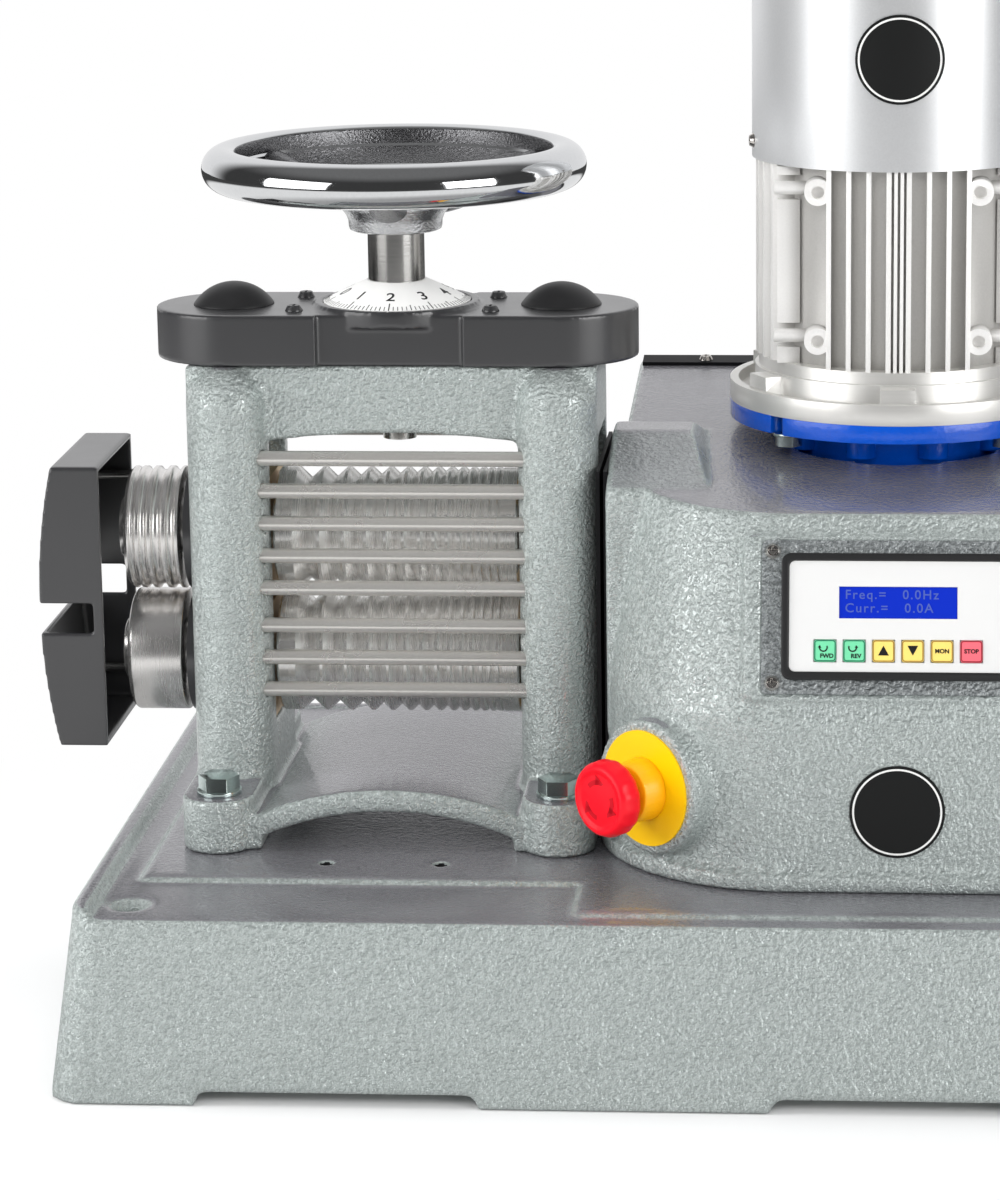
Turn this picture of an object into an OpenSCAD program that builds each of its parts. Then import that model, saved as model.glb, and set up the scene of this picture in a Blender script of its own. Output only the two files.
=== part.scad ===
// Bench rolling mill with a vertical geared motor.
// X runs along the base, the front faces -Y, and Z is up from the bench.

/* [Base] */
// Length of the base at deck level
base_l = 600; // [590:1:680]
// Depth of the base at deck level
base_w = 400; // [396:1:460]
// Height of the plateau above the bench
base_h = 96; // [85:1:130]
// How far each side leans out at the bottom
base_flare = 12; // [4:0.5:20]
// Wall of the hollow casting
base_wall = 10; // [6:0.5:14]
// Thickness of the deck
deck_t = 14; // [12:0.5:20]
// Radius of the upright corners
base_corner_r = 16; // [10:1:30]
// Height of the plateau above the tray floor
plateau_h = 3; // [1:0.5:6]
// Width of the rim round the tray
rim_w = 9; // [6:0.5:14]
// Height of the rim above the tray floor
rim_h = 5; // [2:0.5:8]
// Height of the relief between the feet of the base
foot_relief = 6; // [2:0.5:12]
// Place of the relief under the mill head along X
relief_mill_x = -166; // [-180:1:-150]
// Length of the relief under the mill head
relief_mill_l = 141; // [80:1:180]
// Length of the relief under the gear housing
relief_house_l = 122; // [80:1:180]
// Radius of a hold-down hole
bench_hole_r = 6.5; // [4:0.5:9]
// Radius of the post round a hold-down hole
bench_post_r = 16; // [13:0.5:20]
// Distance of a hold-down hole from the edges of the deck
bench_hole_inset = 27; // [24:1:40]
// Radius of a tapped hole for a work table
table_hole_r = 2.5; // [1.5:0.1:4]
// Distance between the two work table holes
table_hole_gap = 60; // [40:1:90]

/* [Mill frame] */
// Place of the mill head along X
mill_x = -152; // [-156:0.5:-150]
// Height of the frame above the deck
frame_h = 248.5; // [240:0.5:270]
// Width of a cheek along X
cheek_w = 42; // [38:0.5:44]
// Distance of a column's round front from the roll plane
column_y = 36; // [28:0.5:38]
// Width of the bearing window in a cheek
window_w = 52; // [48:0.5:56]
// Depth of the bridge along Y
bridge_w = 76; // [68:1:90]
// Thickness of the bridge at its ends
bridge_t = 40.5; // [34:0.5:46]
// Rise of the arch under the bridge
bridge_rise = 4.5; // [2:0.5:8]
// Distance of a foot from the middle of the head along X
foot_off = 89.5; // [86:0.5:92]
// Distance of a foot from the roll plane
foot_y = 82; // [76:0.5:90]
// Radius of a foot
foot_r = 19.2; // [16:0.2:22]
// Height of a foot
foot_h = 28.5; // [22:0.5:34]
// Thickness of the vault between the feet
vault_t = 12; // [8:0.5:16]
// Height of the vault's crown above the deck
vault_h = 33; // [28:0.5:40]
// Radius of a guard bar
bar_r = 4; // [3:0.1:5]
// Distance of the guard bars from the roll plane
bar_y = 42; // [40:0.5:46]
// Pitch of the guard bars
bar_pitch = 17.5; // [14:0.1:19]
// Pitch across the feed gap
feed_pitch = 20.3; // [18:0.1:24]
// Width across the flats of a frame bolt
bolt_af = 19; // [16:1:22]
// Radius of a frame bolt's shank
bolt_r = 6; // [5:0.5:7]

/* [Rolls] */
// Diameter of the rolls
roll_d = 66; // [60:0.5:70]
// Gap between the rolls as shown
roll_gap = 1.5; // [1.3:0.1:3]
// Length of a roll's barrel
roll_l = 130; // [120:1:134]
// Height of the lower roll's axis above the deck
lower_h = 86; // [82:0.5:92]
// Gap between a barrel's end and the cheek
roll_end_gap = 1.5; // [1:0.1:3]
// Radius of a roll's journal
journal_r = 20; // [17:0.5:22]
// Height of a bearing block
block_h = 64; // [58:0.5:65]
// Pitch of the widest wire groove
groove_pitch = 14.6; // [12:0.1:15]
// Share of the pitch kept from one groove to the next
groove_ratio = 0.9; // [0.86:0.01:0.91]
// Number of wire grooves
groove_n = 14; // [10:1:16]
// Land left between two grooves
groove_land = 1.6; // [0.8:0.1:2]
// Length of an extension roll
ext_l = 29.5; // [24:0.5:34]
// Gap from the cheek to an extension roll
ext_gap = 8; // [7:0.5:12]
// Radius of the seat of an extension roll
ext_seat_r = 14; // [11:0.5:16]
// Radius of an extension roll's cap
ext_cap_r = 17.5; // [16:0.5:22]
// Thickness of an extension roll's cap
ext_cap_t = 5; // [3:0.5:8]
// Thickness of the roll gears
roll_gear_t = 24; // [18:0.5:26]
// Radius of the seat of a roll gear
gear_seat_r = 16; // [13:0.5:18]
// How far the upper roll can rise
lift_up = 5; // [3:0.5:6]
// How far the upper roll can be lowered
lift_down = 1.2; // [0.5:0.1:1.2]

/* [Screws and handwheel] */
// Radius of the lifting screws
screw_r = 12; // [10:0.5:13]
// Radius of a screw's end in its block
screw_pin_r = 8; // [6:0.5:9]
// Depth of a screw's end in its block
screw_pin_l = 10; // [8:0.5:12]
// Height of the top cover
cover_h = 27; // [25:0.5:32]
// Radius of the top cover's lobes
lobe_r = 41; // [39:0.5:46]
// Half the depth of the cover between its flat faces
waist_y = 38; // [37.5:0.5:40]
// Half the length of the cover's flat faces
waist_x = 38.5; // [34:0.5:42]
// Wall of the top cover
cover_wall = 3; // [2:0.25:3.5]
// Radius of the dial's rim
dial_r = 39; // [38:0.5:44]
// Height of the dial
dial_h = 13; // [10:0.5:16]
// Radius of the spindle above the cover
spindle_r = 15; // [13:0.5:16]
// Radius of the spindle in the bridge
spindle_low_r = 9; // [8:0.5:11]
// Outer radius of the handwheel
wheel_r = 101.5; // [95:0.5:115]
// Thickness of the handwheel's rim
wheel_rim_t = 23; // [18:0.5:26]
// Height of the handwheel's rim above the cover
wheel_h = 74; // [68:0.5:85]
// Radius of the handwheel's hub
hub_r = 24.5; // [20:0.5:28]
// Length of the handwheel's hub
hub_l = 21.5; // [20:0.5:30]
// Height of the hub's lower face above the cover
hub_h = 40; // [34:0.5:42]

/* [Extension guard] */
// Place of the guard's open edge along X, as shown taken off
guard_x = -307; // [-330:0.5:-306]
// Depth of the guard at its middle
guard_d = 34; // [32:0.5:40]
// Sag of the guard's curved end from the middle to the tips
guard_sag = 8.5; // [4:0.5:10]
// Height of the guard
guard_h = 152; // [152:1:180]
// Width of the guard along Y
guard_w = 96; // [90:1:110]
// Wall of the guard
guard_wall = 3; // [2:0.25:4]
// Height of the feed slot
guard_slot_h = 16; // [12:0.5:18]
// How far the slot's middle sits below the pass line
guard_slot_drop = 6; // [3:0.5:7]
// Radius of a guide rod of the guard
rod_r = 3; // [2.5:0.1:3.4]
// Travel of the guard along its guide rods
guard_travel = 30; // [26:0.5:30]

/* [Gear housing] */
// Place of the motor axis along X
motor_x = 113.5; // [112:0.5:116]
// Place of the motor axis along Y
motor_y = 45; // [44:0.5:47]
// Half the length of the housing along X
house_half = 151; // [150:0.5:154]
// Distance of the front wall from the roll plane
house_front = 150; // [146:0.5:156]
// Distance of the back wall from the roll plane
house_back = 184; // [176:0.5:186]
// Radius of the front corners
house_r = 95; // [85:1:100]
// Wall of the housing
house_wall = 7; // [5:0.25:8]
// Height of the upright part of the front wall
break_h = 88; // [82:0.5:94]
// Lean of the control panel from upright
panel_lean = 22; // [18:0.5:25]
// Length of the leaning face
slope_l = 106; // [104:0.5:112]
// Rise of the housing's top towards the back, in degrees
top_tilt = 5.2; // [3:0.1:5.6]
// Height of the lip round the foot of the housing
lip_h = 9; // [6:0.5:12]
// How far the lip stands out
lip_w = 5; // [3:0.5:6]
// Height of the gear hump above the deck
hump_h = 210; // [206:0.5:216]
// Depth of the gear hump along Y at its foot
hump_w = 146; // [136:1:154]
// Depth of the gear hump along Y at its top
hump_top_w = 25; // [20:0.5:40]
// Length of the gear hump along X at its top
hump_l = 43; // [42:0.5:48]

/* [Control panel] */
// Width of the raised border
border_l = 156; // [150:1:160]
// Height of the raised border
border_w = 84; // [80:0.5:88]
// Width of the panel plate
plate_l = 137; // [130:1:142]
// Height of the panel plate
plate_w = 78; // [74:0.5:79]
// Thickness of the panel plate
plate_t = 3; // [2:0.25:4]
// Width of the keypad's bezel
bezel_l = 117; // [110:1:122]
// Height of the keypad's bezel
bezel_w = 64; // [60:0.5:66]
// Thickness of the keypad's bezel
bezel_t = 5; // [4:0.25:7]
// Frame left round the keypad's face
bezel_frame = 4; // [3:0.25:6]
// Side of a square key
key_side = 11; // [9:0.25:12]
// Pitch of the keys
key_pitch = 14.6; // [13.5:0.1:16]
// Travel of a key
key_travel = 0.5; // [0.3:0.1:0.7]
// Width of the display
lcd_l = 59; // [50:0.5:66]
// Height of the display
lcd_w = 16; // [12:0.5:20]

/* [Emergency stop] */
// Height of the stop button above the deck
stop_h = 48; // [46:0.5:56]
// Angle of the stop button from the front, in degrees
stop_angle = 43; // [38:0.5:48]
// Radius of the cast boss
stop_boss_r = 35; // [33:0.5:38]
// Height of the cast boss
stop_boss_t = 10; // [8:0.5:13]
// Radius of the yellow legend plate
legend_r = 30; // [26:0.5:33]
// Thickness of the yellow legend plate
legend_t = 1.2; // [0.8:0.1:2]
// Radius of the yellow collar
collar_r = 15; // [13.5:0.5:18]
// Height of the yellow collar
collar_h = 13; // [10:0.5:16]
// Radius of the red head
stop_head_r = 20; // [18:0.5:24]
// Thickness of the red head
stop_head_t = 14; // [11:0.5:18]
// Travel of the stop button
stop_travel = 4.5; // [3:0.5:5]

/* [Motor] */
// Gap between the housing's top and the blue ring at its back edge
ring_gap = 0.5; // [0.5:0.1:3]
// Radius of the blue ring and the motor flange
ring_r = 90; // [84:0.5:94]
// Thickness of the blue ring
ring_t = 9.5; // [8:0.5:12]
// Thickness of the motor flange
flange_t = 11; // [9:0.5:14]
// Radius of the hole in the housing's top
neck_hole_r = 66; // [63:0.5:69]
// Radius of the end shield
shield_r = 76.5; // [75:0.5:77.5]
// Height of the end shield
shield_h = 14.5; // [12:0.5:20]
// Radius to the tips of the fins
fin_r = 76; // [74:0.5:78]
// Radius of the motor's bare wall
barrel_r = 67; // [65:0.5:69]
// Length of the finned barrel
barrel_l = 172; // [156:1:190]
// Pitch of the fins
fin_pitch = 10.4; // [9.8:0.1:10.8]
// Thickness of a fin
fin_t = 2.6; // [2:0.1:3.4]
// Length of barrel left bare below the polished cover
bare_l = 105.5; // [98:0.5:112]
// Height of the polished cover
sleeve_l = 135; // [125:1:150]
// Wall of the polished cover
sleeve_wall = 2; // [1.5:0.25:3]
// Radius of the motor shaft
motor_shaft_r = 9; // [8:0.25:9.5]
// Radius of the rotor
rotor_r = 36; // [32:0.5:40]
// Radius of the drive shaft
drive_r = 15; // [13:0.5:16]
// Teeth of the worm wheel
wheel_teeth = 30; // [24:1:36]

/* [Hidden] */
$fn = 96;

// Fits and overlaps
run_gap = 0.05;
slip_gap = 0.1;
air = 0.3;
cut = 1;
skin = 0.1;

// Heights above the bench
deck_z = base_h;
tray_z = base_h - plateau_h;
lower_z = deck_z + lower_h;
upper_z = lower_z + roll_d + roll_gap;
pass_z = lower_z + roll_d / 2 + roll_gap / 2;
bridge_z = deck_z + frame_h;
bridge_low_z = bridge_z - bridge_t;
cover_z = bridge_z + cover_h;
block_top_z = upper_z + block_h / 2;

// Mill frame
cheek_off = roll_l / 2 + roll_end_gap + cheek_w / 2;
cheek_in = cheek_off - cheek_w / 2;
cheek_out = cheek_off + cheek_w / 2;
column_r = cheek_w / 2;
bridge_arch_r = (cheek_in * cheek_in + bridge_rise * bridge_rise) / (2 * bridge_rise);
vault_foot = 20;
vault_in = cheek_in - 0.5;
vault_out = foot_off - foot_r + cut;
vault_rise = vault_h - vault_foot;
vault_r = (cheek_in * cheek_in + vault_rise * vault_rise) / (2 * vault_rise);
bar_top_n = 5;
bar_low_n = 3;
bars_z = concat(
    [for (i = [0 : bar_top_n - 1]) pass_z + feed_pitch / 2 + i * bar_pitch],
    [for (i = [0 : bar_low_n - 1]) pass_z - feed_pitch / 2 - i * bar_pitch]);
bar_seat = 8;
table_hole_y = -foot_y - foot_r - 9;
washer_t = 2.5;
washer_r = bolt_af * 0.62;
bolt_head_t = 7.5;
mill_feet = [for (sx = [-1, 1], sy = [-1, 1]) [mill_x + sx * foot_off, sy * foot_y]];

// Gears under the top cover
pinion_n = 25;
idler_n = 10;
gear_m = 2 * cheek_off / (2 * pinion_n + 2 * idler_n);
pinion_pr = gear_m * pinion_n / 2;
idler_pr = gear_m * idler_n / 2;
idler_off = pinion_pr + idler_pr;
addendum = 0.86;
dedendum = 1.14;
tooth_tip = 0.6 * gear_m;
tooth_root = 1.6 * gear_m;
screw_gear_t = 11;
screw_gear_z = bridge_z + lift_down + 2;
idler_z = bridge_z + 1;
idler_t = screw_gear_t + lift_up + lift_down + 2;
idler_pin_r = 4;
pin_depth = 10;
pinion_gap = 0.5;
screw_top = 3;
cover_post_r = 5;
cover_post = [52, 23];
screw_m4_r = 2;
button_r = 4.8;
button_t = 3;
cap_r = 21.7;
cap_h = 12;
collar_ring_t = 2.5;
collar_ring_r = dial_r + 5;
collar_drop = 6.5;

// Roll gears and their place in the housing
house_x0 = motor_x - house_half;
house_x1 = motor_x + house_half;
gear_x0 = house_x0 + house_wall + 3;
gear_x1 = gear_x0 + roll_gear_t;
roll_gear_n = 16;
roll_gear_pr = (roll_d + roll_gap) / 2;
roll_gear_tip = roll_gear_pr + 3;
roll_gear_root = roll_gear_pr - 4.9;
coupling_x0 = gear_x1 + 1;
coupling_l = 44;
coupling_r = 25;
socket_l = 22;
left_end = mill_x - cheek_out - ext_gap - ext_l;
ext_plate_t = 5;
rod_y = bar_y - 1;
rods_z = [bars_z[bar_top_n - 1] - bar_pitch * 1.5, bars_z[bar_top_n + bar_low_n - 1] - bar_pitch * 0.6];
rod_grip = 3.5;
rod_room = 1.5;
guard_bridge = 5;
guard_r = (guard_h * guard_h / 4 + guard_sag * guard_sag) / (2 * guard_sag);
// Place along X of the guard's inner face at a height y from the pass line
function guard_in(y) = guard_x - guard_d + guard_r - sqrt(pow(guard_r - guard_wall, 2) - y * y);

// Housing
front_y = -house_front;
back_y = house_back;
break_z = deck_z + break_h;
top_front_y = front_y + slope_l * sin(panel_lean);
top_front_z = break_z + slope_l * cos(panel_lean);
top_l = (back_y - top_front_y) / cos(top_tilt);
top_inset = 4;
// Height of the housing's top at a place along Y
function top_z(y) = top_front_z + (y - top_front_y) * tan(top_tilt);
top_r = house_r - 3;
hump_run = 11;
hump_top = deck_z + hump_h;
hump_foot_z = break_z - 4 * house_wall;
shaft_slot = journal_r + 4;
rear_y = back_y + run_gap;
rear_t = 2;
rear_lip = 14;
// Height of the rear cover's underside at a place along Y
function lid_z(y) = top_z(y) + run_gap;
rear_margin = 16;
rear_half = house_half - 6;
m8_af = 13;
m8_head_t = 5.5;
m8_washer_r = 8;
m8_washer_t = 1.6;
house_boss_r = 11;
house_bolt_r = 4;
house_boss_h = 26;
house_bolt_x = house_half - house_wall - house_boss_r - 3;
post_gap = 2;
house_bolt_y = [front_y + house_r, min(back_y - house_wall - house_boss_r - 3,
    base_w / 2 - bench_hole_inset - bench_post_r - m8_washer_r - post_gap)];

// Control panel
panel_s = slope_l / 2;
border_t = 3;
plate_gap = 0.4;
plate_r = 3;
border_r = 5;
face_l = bezel_l - 2 * bezel_frame;
face_w = bezel_w - 2 * bezel_frame;
face_t = bezel_t - 1;
face_z = plate_t + face_t;
key_well = 2.2;
key_rise = 0.6;
key_n = 6;
key_v = -17.5;
lcd_v = 7;
lcd_well = 2;
panel_hole_l = 96;
panel_hole_w = 46;
screw_head_r = 4;
screw_head_t = 2.2;
screw_shank_r = 2;
plate_screw = [plate_l / 2 - 5.5, plate_w / 2 - 5.5];
plate_screw_l = 7;

// Emergency stop
stop_z = deck_z + stop_h;
stop_c = [house_x0 + house_r, front_y + house_r];
stop_hole_r = 11;
stop_pad = house_wall + 4;
stop_body_l = 36;
stop_body_t = 12;
stop_body_r = 14;
plunger_r = 4;
stop_gap = stop_travel + 0.6;
collar_z = stop_boss_t + legend_t;
head_z = collar_z + collar_h + stop_gap;
plunger_grip = 8;
head_dish_r = 60;
head_dish = 1.6;

// Motor stack
ring_z = top_z(motor_y + ring_r) + ring_gap;
flange_z = ring_z + ring_t;
shield_z = flange_z + flange_t;
barrel_z = shield_z + shield_h;
sleeve_z = barrel_z + bare_l;
barrel_top = barrel_z + barrel_l;
sleeve_top = sleeve_z + sleeve_l;
sleeve_in = fin_r + slip_gap;
sleeve_r = sleeve_in + sleeve_wall;
sleeve_round = 6;
sleeve_screws = [90, 190, 350];
sleeve_screw_z = 9;
grille_rib = 4;
stator_r = barrel_r - 4;
barrel_end_t = 9;
motor_bearing_r = 21;
motor_bearing_t = 8;
rotor_air = 0.8;
rotor_l = 100;
rotor_z = barrel_z + 26;
fan_z = barrel_top + 8;
fan_t = 14;
fan_r = fin_r - 18;
fan_hub_r = motor_shaft_r + 7;
fan_disc_t = 2.5;
blade_n = 8;
blade_t = 2.5;
mid_rib_off = 1.6;
mid_rib_t = 1.8;
pad_x = 5.54 * fin_pitch;
pad_w = 12;
pad_y = 45;
pad_d = 27;
pad_slot = 6;
pad_slot_h = 13;
notch_w = 9;
flange_rim = 4.5;
flange_floor = 5;
groove_r = ring_r - flange_rim;
flange_bolt_circle = (shield_r + groove_r) / 2;
lug_n = 6;
lug_w = 18;

// Reducer
case_half = 38;
case_wall = 9;
case_back = motor_y + 32;
case_front = -46;
case_low = lower_z - 44;
case_high = lower_z + 58;
case_l = case_back - case_front;
case_h = case_high - case_low;
case_foot = 12;
neck_r = 56;
neck_wall = 23;
rib_n = 9;
rib_r = 8;
rib_turn = 10;
rib_h = 14;
drive_bearing_r = 27;
worm_gap = 0.6;
worm_wheel_pr = motor_y - motor_shaft_r - 4;
worm_wheel_tip = worm_wheel_pr + 1.2;
worm_r = motor_y - worm_wheel_tip - worm_gap;
worm_l = 56;
worm_pitch = 2 * PI * worm_wheel_pr / wheel_teeth;
worm_wheel_t = 26;
drive_x1 = motor_x + case_half + 6;
badge_r = 24;
badge_t = 0.8;

// Rectangle with round corners, kept as true arcs
module round_rect(l, w, r) {
    square([l - 2 * r, w], center = true);
    square([l, w - 2 * r], center = true);
    for (x = [-1, 1], y = [-1, 1])
        translate([x * (l / 2 - r), y * (w / 2 - r)]) circle(r);
}

// Outline with straight flanked teeth, the first tooth at the angle turn
module gear_outline(n, tip_r, root_r, tip_w, root_w, turn) {
    polygon([for (i = [0 : n - 1])
        for (k = [[root_r, root_w, -1], [tip_r, tip_w, -1], [tip_r, tip_w, 1], [root_r, root_w, 1]])
            let (a = turn + i * 360 / n + k[2] * asin(k[1] / 2 / k[0])) k[0] * [cos(a), sin(a)]]);
}

// Gear of the top cover with its bore
module cover_gear(n, turn, thick, bore_r) {
    linear_extrude(thick) difference() {
        gear_outline(n, gear_m * (n / 2 + addendum), gear_m * (n / 2 - dedendum),
            tooth_tip, tooth_root, turn);
        circle(bore_r);
    }
}

// Turns a shape drawn along +Z so that it runs along +X
module along_x() { rotate([0, 90, 0]) children(); }

// Hexagon bolt with a washer, its seat at Z = 0
module hex_bolt(af, head_t, washer_ro, washer_h, r, l) {
    translate([0, 0, washer_h]) {
        cylinder(r = af / 2 / cos(30), h = head_t, $fn = 6);
        translate([0, 0, -washer_h - l]) cylinder(r = r, h = l + washer_h + cut);
    }
    difference() {
        cylinder(r = washer_ro, h = washer_h);
        translate([0, 0, -cut]) cylinder(r = r + 0.5, h = washer_h + 2 * cut);
    }
}

// Pan head screw with a cross recess, its seat at Z = 0
module pan_screw(head_r, head_t, r, l) {
    difference() {
        union() {
            cylinder(r1 = head_r, r2 = head_r * 0.7, h = head_t);
            translate([0, 0, -l]) cylinder(r = r, h = l + head_t / 2);
        }
        for (a = [0, 90])
            rotate(a) translate([0, 0, head_t]) cube([head_r * 1.1, head_r * 0.24, head_t], center = true);
    }
}

// Places four children at the corners of a rectangle
module corners(x, y) {
    for (sx = [-1, 1], sy = [-1, 1]) translate([sx * x, sy * y, 0]) children();
}

// Plan of the housing, drawn in from the wall by inset
module house_plan(inset) {
    x0 = house_x0 + inset;
    x1 = house_x1 - inset;
    y0 = front_y + inset;
    y1 = back_y - inset;
    r = house_r - inset;
    translate([x0 + r, y0]) square([x1 - x0 - 2 * r, y1 - y0]);
    translate([x0, y0 + r]) square([x1 - x0, y1 - y0 - r]);
    for (x = [x0 + r, x1 - r]) translate([x, y0 + r]) circle(r);
}

// Outline of the housing's top in its own tilted plane
module top_plan(inset) {
    x0 = house_x0 + top_inset + inset;
    x1 = house_x1 - top_inset - inset;
    r = top_r - inset;
    translate([x0 + r, inset]) square([x1 - x0 - 2 * r, top_l - 2 * inset]);
    translate([x0, inset + r]) square([x1 - x0, top_l - 2 * inset - r]);
    for (x = [x0 + r, x1 - r]) translate([x, inset + r]) circle(r);
}

// Tilted plane of the housing's top, with its front edge at Y = 0
module on_top() { translate([0, top_front_y, top_front_z]) rotate([top_tilt, 0, 0]) children(); }

// Leaning plane of the panel, with its middle at the origin and +Z facing out
module on_panel() {
    translate([motor_x, front_y, break_z]) rotate([90 - panel_lean, 0, 0])
        translate([0, panel_s, 0]) children();
}

// Axis of the stop button, with +Z facing out from the corner of the housing
module on_stop() {
    translate([stop_c[0] - house_r * sin(stop_angle), stop_c[1] - house_r * cos(stop_angle), stop_z])
        rotate([0, 0, -stop_angle]) rotate([90, 0, 0]) children();
}

// Motor axis at deck level
module on_motor(z) { translate([motor_x, motor_y, z]) children(); }

// Flared block of the base from the bench to the given height
module base_block(inset, z0, z1) {
    hull() {
        translate([0, 0, z0]) linear_extrude(skin)
            round_rect(base_l + 2 * base_flare - 2 * inset,
                base_w + 2 * base_flare - 2 * inset, base_corner_r);
        translate([0, 0, z1 - skin]) linear_extrude(skin)
            round_rect(base_l - 2 * inset, base_w - 2 * inset, base_corner_r);
    }
}

// Raised part of the deck: narrow by the mill head, wide by the housing
module plateau() {
    back = house_back + 4;
    mill_front = foot_y + 1.1 * foot_r + 34;
    house_edge = house_front + lip_w + 32;
    left = mill_x - foot_off - foot_r - 12;
    right = house_x1 + lip_w + 6;
    step_x = house_x0 - lip_w - 4;
    translate([left, -mill_front]) square([step_x - left + cut, mill_front + back]);
    translate([step_x, -house_edge]) square([right - step_x, house_edge + back]);
}

module base_casting() color([0.62, 0.66, 0.65]) {
    bx = base_l / 2 - bench_hole_inset;
    by = base_w / 2 - bench_hole_inset;
    difference() {
        union() {
            difference() {
                base_block(0, 0, tray_z);
                base_block(base_wall, -skin, tray_z - deck_t);
                for (k = [[relief_mill_x, relief_mill_l], [motor_x, relief_house_l]]) translate([k[0], 0, 0])
                    cube([k[1], base_w + 4 * base_flare, 2 * foot_relief], center = true);
            }
            translate([0, 0, tray_z - cut]) linear_extrude(plateau_h + cut) plateau();
            translate([0, 0, tray_z - cut]) linear_extrude(rim_h + cut) difference() {
                round_rect(base_l, base_w, base_corner_r);
                translate([0, -rim_w]) round_rect(base_l - 2 * rim_w, base_w, base_corner_r - rim_w / 2);
            }
            corners(bx, by) cylinder(r = bench_post_r, h = tray_z);
        }
        corners(bx, by) {
            translate([0, 0, -cut]) cylinder(r = bench_hole_r, h = base_h + 2 * cut);
            translate([0, 0, tray_z - 2]) cylinder(r = bench_hole_r * 1.8, h = rim_h + 2 + cut);
        }
        for (p = mill_feet) translate([p[0], p[1], 0]) cylinder(r = bolt_r, h = base_h + cut);
        for (x = [-1, 1]) translate([mill_x + x * table_hole_gap / 2, table_hole_y, tray_z - deck_t - cut])
            cylinder(r = table_hole_r, h = deck_t + plateau_h + 2 * cut);
        for (x = [-1, 1], y = house_bolt_y) translate([motor_x + x * house_bolt_x, y, 0])
            cylinder(r = house_bolt_r + slip_gap, h = base_h + cut);
    }
}

// Column of a cheek, with its round front towards +Y
module column() {
    h = frame_h - column_r;
    linear_extrude(h) {
        translate([0, column_y]) circle(column_r);
        translate([-column_r, 0]) square([2 * column_r, column_y]);
    }
    translate([0, column_y, h]) sphere(column_r);
}

module mill_frame() color([0.62, 0.66, 0.65]) translate([mill_x, 0, deck_z]) {
    difference() {
        union() {
            for (x = [-1, 1], y = [0, 1]) translate([x * cheek_off, 0, 0]) mirror([0, y, 0]) column();
            translate([-cheek_out, -bridge_w / 2, frame_h - bridge_t])
                cube([2 * cheek_out, bridge_w, bridge_t]);
            corners(foot_off, foot_y) cylinder(r = foot_r, h = foot_h);
            for (x = [-1, 1]) translate([x * foot_off - foot_r, -foot_y, 0])
                cube([2 * foot_r, 2 * foot_y, foot_h]);
            intersection() {
                translate([0, 0, vault_h - vault_r]) rotate([90, 0, 0])
                    cylinder(r = vault_r, h = 2 * foot_y + foot_r, center = true, $fn = 180);
                translate([-vault_out, -foot_y - foot_r, 0])
                    cube([2 * vault_out, 2 * foot_y + 2 * foot_r, vault_h + cut]);
            }
        }
        intersection() {
            translate([0, 0, vault_h - vault_r]) rotate([90, 0, 0])
                cylinder(r = vault_r - vault_t, h = 2 * foot_y + 3 * foot_r, center = true, $fn = 180);
            translate([-vault_in, -2 * foot_y, -cut]) cube([2 * vault_in, 4 * foot_y, vault_h]);
        }
        translate([-cheek_out - cut, -window_w / 2, lower_h - block_h / 2])
            cube([2 * cheek_out + 2 * cut, window_w, frame_h - bridge_t - lower_h + block_h / 2]);
        translate([0, 0, frame_h - bridge_t + bridge_rise - bridge_arch_r]) rotate([90, 0, 0])
            intersection() {
                cylinder(r = bridge_arch_r, h = 2 * bridge_w, center = true, $fn = 180);
                translate([0, bridge_arch_r, 0])
                    cube([2 * cheek_in, 4 * bridge_rise, 2 * bridge_w], center = true);
            }
        translate([0, 0, frame_h - bridge_t - cut]) {
            cylinder(r = spindle_low_r + run_gap, h = bridge_t + 2 * cut);
            for (x = [-1, 1]) translate([x * cheek_off, 0, 0])
                cylinder(r = screw_r + air, h = bridge_t + 2 * cut);
        }
        translate([0, 0, frame_h - pin_depth]) {
            corners(cover_post[0], cover_post[1]) cylinder(r = screw_m4_r + slip_gap, h = pin_depth + cut);
            for (x = [-1, 1]) translate([x * idler_off, 0, 0]) cylinder(r = idler_pin_r, h = pin_depth + cut);
        }
        corners(foot_off, foot_y) translate([0, 0, -cut]) cylinder(r = bolt_r + 0.5, h = foot_h + 2 * cut);
        for (z = bars_z, y = [-1, 1]) translate([0, y * bar_y, z - deck_z]) along_x()
            cylinder(r = bar_r + slip_gap, h = 2 * cheek_in + 2 * bar_seat, center = true);
        for (z = rods_z) translate([-cheek_out - cut, rod_y, z - deck_z]) along_x()
            cylinder(r = rod_r + run_gap, h = cut + rod_grip + guard_travel + rod_room);
    }
}

module frame_bolts() color([0.8, 0.84, 0.82])
    for (p = mill_feet) translate([p[0], p[1], deck_z + foot_h])
        hex_bolt(bolt_af, bolt_head_t, washer_r, washer_t, bolt_r - slip_gap, foot_h + deck_t);

module guard_bars() color([0.6, 0.58, 0.54])
    for (z = bars_z, y = [-1, 1]) translate([mill_x, y * bar_y, z]) along_x()
        cylinder(r = bar_r, h = 2 * cheek_in + 2 * bar_seat - slip_gap, center = true);

// Bearing block with the bore of a journal
module bearing_block(pin) {
    difference() {
        cube([cheek_w - 2, window_w - 2 * slip_gap, block_h], center = true);
        along_x() cylinder(r = journal_r + run_gap, h = cheek_w, center = true);
        if (pin) translate([0, 0, block_h / 2 - screw_pin_l])
            cylinder(r = screw_pin_r + run_gap, h = screw_pin_l + cut);
    }
}

module lower_bearings() color([0.72, 0.55, 0.28])
    for (x = [-1, 1]) translate([mill_x + x * cheek_off, 0, lower_z]) bearing_block(false);

module upper_bearings() color([0.72, 0.55, 0.28])
    for (x = [-1, 1]) translate([mill_x + x * cheek_off, 0, upper_z]) bearing_block(true);

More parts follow.
